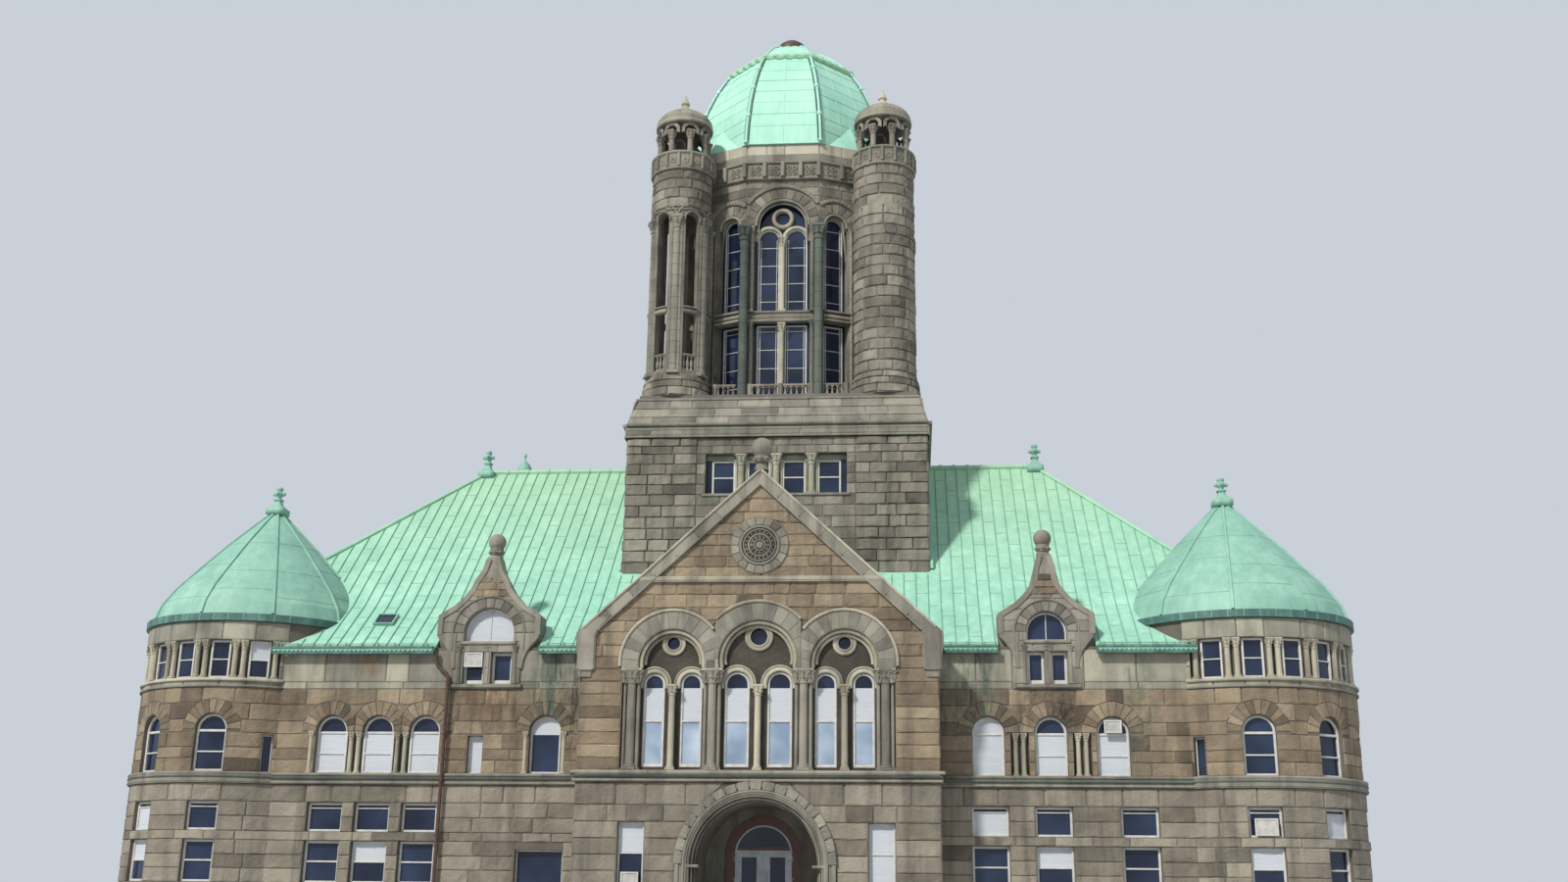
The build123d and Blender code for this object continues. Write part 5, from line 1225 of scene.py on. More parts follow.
tracery = []
for x, half, rise in arcade:
    lancet, off, eye = (0.225, 0.3775, 0.19) if half > 0.6 else (0.195, 0.3325, 0.15)
    eye_z = ARCADE_SPRING + rise - eye - 0.09
    for s in (-1, 1):
        for inset, profile in ((-0.04, bar(0.075, -0.2, -0.13)), (-0.1, roll(0.016, -0.14))):
            tracery.append(strip(pavilion, arch_line(x + s * off, lancet, 4.36, 4.395, lancet, inset), profile))
        tracery.append(boss(pavilion, x + s * half * 0.74, eye_z - 0.02 * s * s, 0.055, -0.16, 0.03, 3, 5, 12))
    tracery.append(strip(pavilion, circle(x, eye_z, eye + 0.03), bar(0.07, -0.2, -0.12), closed=True))
    tracery.append(strip(pavilion, circle(x, eye_z, eye - 0.02), roll(0.02, -0.13), closed=True))
    for inset, size, out in ((0.035, 0.04, -0.035), (0.1, 0.032, -0.1)):
        tracery.append(strip(pavilion, arch_line(x, half, 4.63, ARCADE_SPRING, rise, inset), roll(size, out)))
for x, z, inner, outer, start in rings:
    over = circle(x, z, outer + 0.02, start * 0.4, math.pi - start * 0.4, 40)
    low, high = (x - 9 if x < -1 else x - 0.76), (x + 9 if x > 1 else x + 0.76)
    over = over[(over[:, 0] > low) & (over[:, 0] < high)]
    tracery.append(strip(pavilion, over, roll(0.028, 0.05)))
assemble("arcade_mouldings", tracery, cream)

carving, heads, glazing_bars = [], [], []
for i, (place, half_wall) in enumerate(lantern):
    u, half = ((0, 0.61), (-0.11, 0.29), (0.11, 0.29))[i % 3]
    low, high = -half_wall + 0.01, half_wall - 0.01
    for inset, size, out in ((0.03, 0.032, 0.0), (0.085, 0.026, -0.06)):
        carving.append(strip(place, arch_line(u, half, 14.9, LANTERN_SPRING, half, inset), roll(size, out)))
    over = circle(u, LANTERN_SPRING, half + 0.3, 0.15, math.pi - 0.15, 40)
    over = over[(over[:, 0] > low) & (over[:, 0] < high)]
    carving.append(strip(place, over, bar(0.085, 0.0, 0.045)))
    carving += [boss(place, uu, z, 0.034, 0.045, 0.016, 4, 4, 8) for uu, z in over[::2]]
    for z, size in ((12.7, 0.05), (12.8, 0.08), (12.9, 0.05)):
        out = 0.03 if i % 3 == 0 else 0.11
        carving.append(across(place, z, u - half - 0.02, u + half + 0.02, bar(size, -0.1, out - 0.02 * (z == 12.8))))
    lights = ((-0.3, 0.255), (0.3, 0.255)) if i % 3 == 0 else ((0, half - 0.05),)
    for off, r in lights:
        head = 14.65 if i % 3 == 0 else LANTERN_SPRING
        heads.append(strip(place, arch_line(u + off, r, head - 0.03, head, r, -0.02), bar(0.075, -0.19, -0.1)))
        for low, high in ((11.0, 12.66), (12.95, head)):
            glazing_bars.append(strip(place, outline(u + off, r, low, high, r if low > 12 else 0, 0.03), bar(
                0.035, -0.195, -0.16), closed=True))
            for z in np.arange(low + 0.25, high + 0.1, 0.42):
                glazing_bars.append(across(place, z, u + off - r + 0.05, u + off + r - 0.05,
                                           bar(0.016, -0.195, -0.172)))
            for s in (-1, 1):
                glazing_bars.append(upward(place, u + off + s * r * 0.68, low, high, bar(0.014, -0.195, -0.172)))
    if i % 3 == 0:
        heads.append(strip(place, circle(0, 15.14, 0.2), bar(0.085, -0.19, -0.09), closed=True))
        carving.append(strip(place, arch_line(0, 0.585, 14.6, LANTERN_SPRING, 0.585), roll(0.03, -0.14)))
    count = 4 if i % 3 == 0 else 2
    pitch_u = 2 * half_wall / count
    for j in range(count):
        mid = -half_wall + pitch_u * (j + 0.5)
        for du in (-0.062, 0.062):
            for dz in (-0.062, 0.062):
                carving.append(strip(place, circle(mid + du, FRIEZE_Z + dz, 0.045, count=10),
                                     roll(0.014, 0.07, count=6), closed=True))
                carving.append(boss(place, mid + du, FRIEZE_Z + dz, 0.02, 0.07, 0.014, 4, 4, 8))
        carving.append(boss(place, mid, FRIEZE_Z, 0.03, 0.07, 0.02, 4, 4, 8))
        carving.append(upward(place, mid + pitch_u / 2, 16.06, 16.4, bar(0.085, 0.04, 0.15)))
    carving.append(across(place, 16.41, -half_wall, half_wall, bar(0.045, 0.0, 0.1)))
    carving.append(across(place, 16.035, -half_wall, half_wall, roll(0.028, 0.055)))
for x, y, away in TURRETS:
    ring = drum(x, y, 0.68)
    for j in range(12):
        u = 0.68 * (away + math.pi / 8 * (j - 5.5))
        carving.append(boss(ring, u, FRIEZE_Z, 0.1, 0.0, 0.024, 4, 7, 24))
        carving.append(upward(ring, u + 0.13, 16.07, 16.38, bar(0.05, -0.02, 0.045)))
    for radius, z, size in ((0.68, 16.41, 0.035), (0.68, 16.03, 0.03), (0.65, 15.05, 0.03)):
        carving.append(hoop(x, y, radius, z, roll(size, 0.0), 41))
assemble("lantern_carving", carving, dressed)
assemble("lantern_tracery", heads, cream)
assemble("lantern_glazing", glazing_bars, white)
print(len(carving), "carved members,", len(glazing_bars), "glazing bars")
print(sum(made.values()), "triangles so far")

# %% [markdown]
# ## Seams in the copper
#
# The roofs are sheets joined by standing seams that run up the slope, with laps across them that step from pan to
# pan. A seam is a small profile carried along a line on the roof, lifted along the roof's own normal. Where a line
# would run through a cone, a dormer, the gable or the tower it is cut, so the seams end at the flashings. Lines in a
# texture would be lighter but would vanish at the eaves, where the seams show as small teeth.


# %% Lines on the roofs
def carried(path, up, profile, closed=False):
    """A profile of (across, lift) along a line in space: path + across * (ahead x up) + lift * up, the ends drawn to
    a point."""
    path, profile = np.asarray(path, float), np.asarray(profile, float)
    up = np.broadcast_to(np.asarray(up, float), path.shape)
    ahead = np.roll(path, -1, 0) - (np.roll(path, 1, 0) if closed else path)
    if not closed:
        ahead[-1] = ahead[-2]
    side = np.cross(ahead, up)
    side /= np.linalg.norm(side, axis=1, keepdims=True)
    rows = path[:, None] + side[:, None] * profile[:, :1] + up[:, None] * profile[:, 1:]
    if not closed:
        rows, = capped(rows)
    return outward(rows.reshape(-1, 3), lattice(*rows.shape[:2], True, closed))


ROOF = {"front": (0.96, 5.205), "rear": (11.37, -5.205), "left": (-11.89, 5.06), "right": (10.465, -4.995)}
ROOF_RISE = 4.76


def rise_at(s):
    """Height of the main roof at a share s of the way to its ridge: flatter over the first quarter, at the eaves."""
    return EAVE + ROOF_RISE * np.where(s < 0.25, 0.84 * s, 0.21 + (s - 0.25) / 0.75 * 0.79)


def slope(side, t, s):
    """Points and normals on the main roof, t along the eaves in the frame and s up the slope."""
    s = np.asarray(s, float)
    t, s = np.broadcast_arrays(np.asarray(t, float), s)
    foot, run = ROOF[side]
    level = foot + run * s
    climb = ROOF_RISE * np.where(s < 0.25, 0.84, 0.79 / 0.75)
    size = np.hypot(climb, run)
    out, up = -np.sign(run) * climb / size, abs(run) / size
    if side in ("front", "rear"):
        return np.stack([t, level, rise_at(s)], -1), np.stack([0 * t, out, up], -1)
    return np.stack([level, t, rise_at(s)], -1), np.stack([out, 0 * t, up], -1)


def roof_height(x, y):
    """Height of the main roof over a point."""
    shares = [(v - foot) / run for v, (foot, run) in zip((y, y, x, x), ROOF.values())]
    return rise_at(np.clip(np.minimum.reduce(shares), 0, 1))


def gable_height(x):
    """Height of the roof behind the gable."""
    return 8.09 - 2.9 / 3.24 * abs(x)


CONE = [(1, 0), (0.965, 0.1), (0.845, 0.25), (0.635, 0.45), (0.42, 0.65), (0.185, 0.85), (0, 1)]
CONE_FOOT, CONE_RISE = 5.8, 2.505
cone_z = np.array([CONE_FOOT + CONE_RISE * h for r, h in CONE])
cone_r = np.array([2.135 * r for r, h in CONE])


def free(points, margin=0.02):
    """Where points of the main roof stay clear of the cones, the dormers, the gable's roof and the tower."""
    x, y, z = points.T
    clear = np.maximum(abs(x), abs(y - TOWER_Y)) > TOWER_HALF + 3 * margin
    for cx in ROUND_X:
        clear &= np.hypot(x - cx, y - ROUND_Y) > np.interp(z, cone_z, cone_r) + margin
        clear &= ((x - cx) * np.sign(cx) < 0) | (y > ROUND_Y)
    clear &= (z > gable_height(x) + margin) | (y > TOWER_Y) | (abs(x) > 3.24)
    for middle, wide, lunette in DORMERS:
        for sign, face in ((1, WING_Y), (-1, REAR_Y)):
            past, deep = abs(x - sign * middle), (y - face) * sign
            roof = 6.5 - 0.8 * past / (wide - 0.15)
            clear &= ~((past < wide - 0.13) & (z < roof + margin) & (deep > -0.3) & (deep < 3))
            clear &= ~((past < wide + margin) & (deep > -0.3) & (deep < 0.4))
    return clear


def runs(path, up, profile, clear, least=3):
    """The free stretches of a line, each with the profile."""
    edges = np.flatnonzero(np.diff(np.concatenate([[0], clear.astype(int), [0]])))
    return [carried(path[a:b], up[a:b], profile) for a, b in zip(edges[::2], edges[1::2]) if b - a >= least]


SEAM = [(-0.009, -0.012), (-0.006, 0.022), (0.006, 0.022), (0.009, -0.012)]
LAP = [(-0.009, -0.006), (-0.005, 0.006), (0.006, 0.005), (0.009, -0.006)]
PAN = 0.235
seams, laps, ridges = [], [], []
for side, low, high in (("front", -11.77, 10.4), ("rear", -11.77, 10.4), ("left", 1.08, 11.3), ("right", 1.08, 11.3)):
    beside = ("left", "right") if side in ("front", "rear") else ("front", "rear")
    for i, t in enumerate(np.arange(low, high, PAN)):
        most = min(1, *((t - foot) / run for foot, run in (ROOF[name] for name in beside))) - 0.006
        if most < 0.03:
            continue
        s = np.unique(np.concatenate([np.linspace(0.002, most, 56), [0.25] if most > 0.26 else []]))
        path, up = slope(side, t, s)
        seams += runs(path, up, SEAM, free(path))
        for share in np.arange(0.055 + 0.062 * (i * 2 % 3), most - 0.04, 0.186):
            path, up = slope(side, np.linspace(t + 0.016, t + PAN - 0.016, 3), share)
            laps += runs(path, up, LAP, free(path))
print(len(seams), "seams,", len(laps), "laps")

# %% Seams of the gable's roof and the dormers' roofs
for sign in (-1, 1):
    for y in np.arange(0.5, 6.1, PAN):
        x = sign * np.linspace(3.225, 0.03, 40)
        path = np.stack([x, 0 * x + y, gable_height(x)], 1)
        up = np.broadcast_to(np.array([sign * 2.9, 0, 3.24]) / math.hypot(2.9, 3.24), path.shape)
        clear = (path[:, 2] > roof_height(path[:, 0], path[:, 1]) + 0.02) & (y < 3.0)
        seams += runs(path, up, SEAM, clear)
    for middle, wide, lunette in DORMERS:
        half = wide - 0.15
        for face, way in ((WING_Y, 1), (REAR_Y, -1)):
            for y in face + way * np.arange(0.45, 1.7, PAN):
                x = way * middle + sign * np.linspace(half - 0.01, 0.02, 20)
                path = np.stack([x, 0 * x + y, 6.5 - 0.8 * abs(x - way * middle) / half], 1)
                up = np.broadcast_to(np.array([sign * 0.8, 0, half]) / math.hypot(0.8, half), path.shape)
                seams += runs(path, up, SEAM, path[:, 2] > roof_height(path[:, 0], path[:, 1]) + 0.01)
assemble("roof_seams", seams, seam_green)
assemble("roof_laps", laps, seam_green)

# %% Rolls on the ridges and hips
upright = np.array([0.0, 0, 1])
for start, run in (ROOF["left"], ROOF["right"]):
    for y0, way in (ROOF["front"], ROOF["rear"]):
        s = np.unique(np.concatenate([np.linspace(0.0, 0.995, 70), [0.25]]))
        path = np.stack([start + run * s, y0 + way * s, rise_at(s) + 0.01], 1)
        ridges += runs(path, np.broadcast_to(upright, path.shape), roll(0.055, 0), free(path))
for x0, x1 in ((RIDGE_X[0], -3.1), (3.1, RIDGE_X[1])):
    x = np.linspace(x0, x1, 9)
    path = np.stack([x, 0 * x + TOWER_Y, 0 * x + RIDGE_Z + 0.01], 1)
    ridges.append(carried(path, upright, roll(0.06, 0)))
    ridges += [carried(path[[i]] + np.array([[-0.03, 0, 0], [0.03, 0, 0]]), upright, roll(0.075, 0, count=10))
                      for i in range(1, 8)]
ridges.append(carried([(0, 0.4, 8.1), (0, 1.8, 8.1), (0, 3.05, 8.1)], upright, roll(0.05, 0)))
for middle, wide, lunette in DORMERS:
    for face, way in ((WING_Y, 1), (REAR_Y, -1)):
        line = [(way * middle, face + way * d, 6.51) for d in (0.4, 0.9, 1.42)]
        ridges.append(carried(line, upright, roll(0.03, 0)))
for y in (TOWER_Y - 3.06, TOWER_Y + 3.06):
    for sign in (-1, 1):
        s = np.linspace(0.43, 1, 12)
        line = np.stack([0 * s + sign * 3.125, TOWER_Y + (y - TOWER_Y) * (1 - s) / 0.57, rise_at(s) + 0.03], 1)
        ridges.append(carried(line, upright, [(-0.03, -0.05), (-0.03, 0.07), (0.02, 0.07), (0.03, -0.05)]))
assemble("ridge_and_hip_rolls", ridges, mint)
print(len(ridges), "rolls")

# %% Battens and laps of the cones
battens, cone_rings = [], []
for k, cx in enumerate(ROUND_X):
    h = np.linspace(0.004, 0.985, 30)
    z = CONE_FOOT + CONE_RISE * h
    r = np.interp(z, cone_z, cone_r)
    slant = np.gradient(z, h) / np.hypot(np.gradient(z, h), np.gradient(r, h))
    flatness = -np.gradient(r, h) / np.hypot(np.gradient(z, h), np.gradient(r, h))
    for i in range(10):
        a = math.radians(36 * i + 8)
        path = np.stack([cx + r * math.cos(a), ROUND_Y + r * math.sin(a), z], 1)
        up = np.stack([slant * math.cos(a), slant * math.sin(a), flatness], 1)
        clear = z > roof_height(path[:, 0], path[:, 1]) - 0.06
        battens += runs(path, up, [(-0.028, -0.01), (-0.022, 0.032), (0.022, 0.032), (0.028, -0.01)], clear)
        for share in (0.16 + 0.05 * (i % 2), 0.4 + 0.06 * (i % 3 == 0), 0.68):
            j = int(share * 29)
            b = a + np.linspace(0.02, math.radians(36) - 0.02, 9)
            path = np.stack([cx + r[j] * np.cos(b), ROUND_Y + r[j] * np.sin(b), 0 * b + z[j]], 1)
            up = np.stack([slant[j] * np.cos(b), slant[j] * np.sin(b), 0 * b + flatness[j]], 1)
            cone_rings += runs(path, up, LAP, path[:, 2] > roof_height(path[:, 0], path[:, 1]) - 0.03)
assemble("cone_battens", battens, dull)
assemble("cone_laps", cone_rings, seam_green)
print(len(battens), "battens")


# %% Gutters
def scallops(place, u0, u1, top, deep, back, face, size=0.085):
    """A hanging edge: its lower line is top - deep * (0.3 + 0.7 |sin(pi u / size)|)."""
    count = max(2, round((u1 - u0) / size)) * 6 + 1
    u = np.linspace(u0, u1, count)
    low = top - deep * (0.3 + 0.7 * np.abs(np.sin(np.arange(count) * math.pi / 6)))
    z = np.stack([0 * u + top, 0 * u + top, low, low], 1)
    out = np.broadcast_to(np.array([back, face, face, back]), z.shape)
    u, out, z = capped(np.repeat(u[:, None], 4, 1), out, z)
    return outward(place(u, out, z).reshape(-1, 3), lattice(*u.shape, True))


eaves = [(front, -9.2, -6.14), (front, -4.14, -3.27), (front, 3.27, 4.24), (front, 6.03, 7.78), (left, -5.3, 2.05),
         (right_side, -2.05, 5.3), (rear, -10.55, -6.14), (rear, -4.14, 4.24), (rear, 6.03, 11.97)]
gutter_rolls, hanging, stays = [], [], []
for place, u0, u1 in eaves:
    in_box = 0.023 if place is rear else 0.0
    gutter_rolls.append(across(place, 5.168, u0, u1, roll(0.03 - in_box / 2, 0.178 - in_box / 2)))
    gutter_rolls.append(across(place, 5.07, u0, u1, roll(0.02 - in_box / 4, 0.168)))
    hanging.append(scallops(place, u0, u1, 5.145, 0.055, 0.16, 0.197 - 0.6 * in_box))
    stays.append(across(place, 5.255, u0, u1, bar(0.016, 0.06, 0.075)))
    for u in np.arange(u0 + 0.12, u1 - 0.05, 0.31):
        stays.append(upward(place, u, 5.18, 5.275, bar(0.02, 0.05, 0.085)))
for k, cx in enumerate(ROUND_X):
    place = drum(cx, ROUND_Y, 2.2)
    first, last = (-226, -53) if k == 0 else (-127, 46)
    u = 2.2 * np.radians(np.linspace(first, last, 61))
    for z, size in ((5.765, 0.028), (5.675, 0.02)):
        gutter_rolls.append(strip(place, np.stack([u, 0 * u + z], 1), roll(size, -size)))
    hanging.append(scallops(place, u[0], u[-1], 5.745, 0.05, -0.03, -0.001))
    for a in np.arange(u[0] + 0.1, u[-1], 0.28):
        stays.append(upward(place, a, 5.66, 5.79, bar(0.02, -0.02, 0.0)))
assemble("gutter_rolls", gutter_rolls, gutter_green)
assemble("gutter_scallops", hanging, seam_green)
assemble("gutter_stays", stays, seam_green)
print(len(stays), "stays")

# %% [markdown]
# ## Dome, finials and small metalwork
#
# Eight broken rolls with collars run up the angles of the dome to a wreath like a rope, and thin lines show where its
# sheets meet. The finials, the ventilator, a skylight and a downpipe complete the roofs. The rope is a ring whose
# thickness is a wave in both of its angles at once, which no plain ring could give.

# %% Dome
DOME = [(0.8, -2.15), (2.15, -0.8), (2.15, 0.8), (0.8, 2.15), (-0.8, 2.15), (-2.15, 0.8), (-2.15, -0.8), (-0.8, -2.15)]
DOME_FOOT, DOME_RISE = 16.37, 4.03
DOME_LAP = [(-0.006, -0.004), (-0.004, 0.003), (0.004, 0.003), (0.006, -0.004)]
dome_size = lambda z: 1.045 * np.sqrt(np.clip(1 - ((np.asarray(z, float) - DOME_FOOT) / DOME_RISE) ** 2, 0, 1))


def dome_line(x, y, z):
    """Points over the plan point (x, y) drawn in with the height, and normals that lean out by the dome's slope."""
    size = dome_size(z)
    path = np.stack([x * size, TOWER_Y + y * size, 0 * size + z], 1)
    away = np.array([x, y]) / math.hypot(x, y)
    steep = np.clip(1.6 * (z - DOME_FOOT) / DOME_RISE, 0, 3) * 0.6
    up = np.stack([away[0] + 0 * z, away[1] + 0 * z, steep], 1)
    return path, up / np.linalg.norm(up, axis=1, keepdims=True)


ribs, rib_shadow_strips, sheets = [], [], []
for i, (x, y) in enumerate(DOME):
    for low, high in ((16.93, 17.62), (17.66, 18.42), (18.46, 19.04), (19.08, 19.44)):
        path, up = dome_line(x, y, np.linspace(low, high, 10))
        ribs.append(carried(path, up, roll(0.032, 0.016)))
        # A dark strip, wider than the roll on it, paints the roll's shadow on both sides.
        rib_shadow_strips.append(carried(path, up, [(-0.06, -0.02), (-0.055, 0.012), (0.055, 0.012), (0.06, -0.02)]))
        for z0 in (low, high):
            path, up = dome_line(x, y, np.array([z0 - 0.025, z0 + 0.025]))
            ribs.append(carried(path, up, roll(0.052, 0.012)))
    path, up = dome_line(x, y, np.linspace(19.6, 20.22, 8))
    ribs.append(carried(path, up, roll(0.022, 0.006)))
    x1, y1 = DOME[(i + 1) % 8]
    normal = np.array([y1 - y, x - x1, 0]) / math.hypot(y1 - y, x - x1)
    for share in (0.5,) if i % 2 else (0.33, 0.67):
        z = np.linspace(16.93, 19.55, 20)
        path, up = dome_line(x + (x1 - x) * share, y + (y1 - y) * share, z)
        sheets.append(carried(path, up, DOME_LAP))
    for z0 in np.arange(17.25, 19.6, 0.33):
        z = z0 + 0.1 * (i % 2)
        size = float(dome_size(z))
        t = np.linspace(0.03, 0.97, 5)
        path = np.stack([(x + (x1 - x) * t) * size, TOWER_Y + (y + (y1 - y) * t) * size, 0 * t + z], 1)
        up = normal + np.array([0, 0, (z - DOME_FOOT) / DOME_RISE])
        sheets.append(carried(path, up / np.linalg.norm(up), DOME_LAP))
assemble("dome_rolls", ribs, pale, stands_for=("dome_ribs",))
assemble("dome_roll_edges", rib_shadow_strips, gutter_green)
assemble("dome_sheet_lines", sheets, pale)


def rope(z, size, thick, waves=40):
    """A ring on the dome's eight-sided plan whose thickness is thick * (1 + 0.28 cos(2 b + waves a))."""
    a = np.linspace(0, 2 * math.pi, waves * 6, endpoint=False)[:, None]
    b = np.linspace(0, 2 * math.pi, 8, endpoint=False)[None, :]
    corner = np.degrees(np.arctan2([y for x, y in DOME], [x for x, y in DOME])) % 360
    order = np.argsort(corner)
    knots = np.concatenate([[corner[order][-1] - 360], corner[order], [corner[order][0] + 360]])
    n = np.searchsorted(knots, np.degrees(a) % 360, side="right")
    ax, bx = np.radians(knots[n - 1]), np.radians(knots[np.minimum(n, 9)])
    radius = size * 2.294 * np.cos((bx - ax) / 2) / np.cos(a - (ax + bx) / 2)
    t = thick * (1 + 0.28 * np.cos(2 * b + waves * a))
    r = radius + t * np.cos(b)
    points = np.stack([r * np.cos(a), TOWER_Y + r * np.sin(a), z + t * np.sin(b)], -1)
    return outward(points.reshape(-1, 3), lattice(len(a), 8, True, True))


wreaths = [rope(19.5, float(dome_size(19.5)) + 0.005, 0.08), rope(20.2, float(dome_size(20.2)) - 0.02, 0.035, 24)]
assemble("dome_wreath", wreaths, mint)
print(len(ribs) + len(sheets), "rolls and lines on the dome")


# %% Finials, ventilator, skylight and downpipe
def finial(foot, height, r):
    rows = [(0, -0.25), (0.95, -0.25, 1), (0.95, 0.02, 1), (0.72, 0.08, 1), (0.5, 0.16, 1), (0.36, 0.27, 1),
            (0.33, 0.38, 1), (0.45, 0.4, 1), (0.45, 0.44, 1), (0.27, 0.47, 0.5), (0.25, 0.55), (0.42, 0.6),
            (0.5, 0.68), (0.4, 0.75), (0.26, 0.79), (0.3, 0.83), (0.4, 0.89), (0.3, 0.96), (0.1, 1), (0, 1)]
    return [(row[0] * r, foot + row[1] * height, *row[2:]) for row in rows]


BUD = [(0, -0.045), (0.028, -0.032), (0.042, 0), (0.028, 0.032), (0, 0.045)]
tops = []
places = [(RIDGE_Z, 0.54, x, TOWER_Y) for x in RIDGE_X]
places += [(8.305, 0.48, x, ROUND_Y) for x in ROUND_X]
for foot, height, x, y in places:
    tops.append(turned(finial(foot, height, 0.19), (x, y, 0)))
    tops += [turned(BUD, (x + a, y + b, foot + 0.68 * height)) for a, b in ((0.1, 0), (-0.1, 0), (0, 0.1), (0, -0.1))]
VENT = [(0, 9.35), (0.13, 9.35), (0.13, 9.93), (0.2, 9.93), (0.2, 9.97), (0.185, 10.02), (0.175, 10.09), (0.15, 10.17),
        (0.11, 10.24), (0.055, 10.3), (0.022, 10.33), (0.018, 10.4), (0.036, 10.43), (0.036, 10.47), (0, 10.51)]
tops.append(turned(VENT, (-6.07, 6.495, 0)))
assemble("copper_finials", tops, dull, stands_for=("roof_finials",), smooth=True)

plate = lambda half, low, high: [(-half, low), (-half, high), (half, high), (half, low)]
loop = [slope("front", x, (z - EAVE) / 3.998)
        for x, z in ((-7.565, 5.71), (-7.2, 5.71), (-7.2, 5.935), (-7.565, 5.935))]
lean = loop[0][1]
light_frame = carried([point for point, normal in loop], lean, plate(0.022, -0.02, 0.06), True)
assemble("skylight_frame", [light_frame], seam_green)
middle = [(loop[0][0] + loop[1][0]) / 2, (loop[2][0] + loop[3][0]) / 2]
assemble("skylight_pane", [carried(middle, lean, plate(0.17, -0.02, 0.035))], glass)

pipe_path = [(-6.08, 5.07), (-6.08, 4.93), (-6.03, 4.82), (-5.88, 4.7), (-5.83, 4.6), (-5.83, 3.9), (-5.83, 2.6),
             (-5.83, 0.62)]
PIPE, CLIP, REAR_PIPES = roll(0.034, 0.105), roll(0.046, 0.105), (-9.0, 0.0, 10.85)
pipes = [strip(front, pipe_path, PIPE)]
pipes += [upward(front, -5.83, z - 0.02, z + 0.02, CLIP) for z in (4.5, 3.6, 2.75, 1.8, 0.9)]
pipes += [strip(rear, [(u, 5.07), (u, 2.8), (u, 0.62)], PIPE) for u in REAR_PIPES]
pipes += [upward(rear, u, z - 0.02, z + 0.02, CLIP) for u in REAR_PIPES for z in (4.5, 3.2, 1.8, 0.9)]
assemble("downpipes", pipes, iron)
print(sum(made.values()), "triangles so far")

# %% [markdown]
# ## Copings, mouldings and small stonework
#
# The last layer of stone ties the big shapes together: coping stones up the rakes, kneelers under them, mouldings on
# the ledges, the ring round the rosette and the wedge stones of the entrance. A rake is one more place, turned in the
# plane of the wall, so the same stones and strips run up it.


# %% Copings, kneelers and ledges
def rake(place, u0, z0, u1, z1):
    """(u, out, z) along a sloping line of a wall, z measured square to the line, and the line's length."""
    length = math.hypot(u1 - u0, z1 - z0)
    c, s = (u1 - u0) / length, (z1 - z0) / length
    return lambda u, out, z: place(u0 + u * c - z * s, out, z0 + u * s + z * c), length


def panel(place, z, left, right, back, front, edge=0.02):
    """A plate between two lines left(z) and right(z), its front edges softened."""
    z, left, right = (np.asarray(v, float)[:, None] for v in (z, left, right))
    share = np.array([0, 0, 0, 1, 1, 1.0])
    nudge = np.array([0, 0, edge, -edge, 0, 0])
    u = left + (right - left) * share + nudge
    out = np.broadcast_to(np.array([back, front - edge, front, front, front - edge, back]), u.shape)
    u, out, level = capped(u, out, np.repeat(z, 6, 1))
    return outward(place(u, out, level).reshape(-1, 3), lattice(*u.shape, True))


trim, light_trim, green_stain_and_shade_trim = [], [], []
for sign in (-1, 1):
    line, length = rake(pavilion, sign * 3.25, 5.285, 0, 8.295)
    low, high = (-0.235, 0.0) if sign < 0 else (0.0, 0.235)
    blocks = row_of(np.linspace(0.12, length - 0.1, 9), low, high)
    name = "left" if sign < 0 else "right"
    stones(f"gable_coping_stones_{name}", shifted(line, 0.058), blocks, dressed, proud=0.008, rough=0.15, gap=0.01,
           seed=150 + sign, tone=0.6)
    outer, inner = (-0.02, -0.225) if sign < 0 else (0.02, 0.225)
    light_trim.append(across(line, outer, 0.15, length - 0.05, roll(0.024, 0.07)))
    trim.append(across(line, inner, 0.3, length - 0.2, roll(0.018, 0.065)))
    z = np.array([4.62, 4.64, 5.2, 5.33, 5.42, 5.5, 5.56])
    side = np.array([3.2, 3.225, 3.225, 3.21, 3.1, 3.0, 2.93])
    inside_line = np.array([2.93, 2.9, 2.9, 2.86, 2.78, 2.7, 2.66])
    pair_of = (-side, -inside_line) if sign < 0 else (inside_line, side)
    trim.append(panel(pavilion, z, *pair_of, -0.01, 0.075, 0.03))
    low, high = sorted((sign * 2.95, sign * 3.2))
    trim.append(panel(pavilion, [4.5, 4.62], (low, low), (high, high), -0.01, 0.045))
light_trim.append(across(pavilion, 6.25, -2.15, 2.15, bar(0.085, 0.0, 0.075)))
trim.append(across(pavilion, 6.2, -2.2, 2.2, roll(0.016, 0.055)))

# The belt's middle roll is near-black green: partly a green stain, partly painted shade of the belt.
BELT = ((2.865, 0.03, 0.055, trim), (2.8, 0.026, 0.075, green_stain_and_shade_trim), (2.72, 0.018, 0.066, trim))
for place, u0, u1 in ((front, -9.02, -3.16), (front, 3.16, 7.6), (left, -5.16, 1.95), (right_side, -1.95, 5.16),
                      (rear, -10.4, 11.82)):
    for z, size, out, where in BELT:
        where.append(across(place, z, u0, u1, roll(size, out)))
ROUND_SPANS = ((-223, -56), (-124, 43))
for cx, span in zip(ROUND_X, ROUND_SPANS):
    u = ROUND_R * np.radians(np.linspace(*span, 49))
    for z, size, out, where in ((2.865, 0.03, 0.044, trim), (2.8, 0.024, 0.05, green_stain_and_shade_trim), (2.72, 0.018, 0.055, trim),
                                (4.44, 0.022, 0.03, trim), (4.56, 0.028, 0.035, light_trim)):
        where.append(strip(drum(cx, ROUND_Y, ROUND_R), np.stack([u, 0 * u + z], 1), roll(size, out)))
trim.append(across(pavilion, 2.85, -3.24, 3.24, bar(0.05, 0.05, 0.135)))
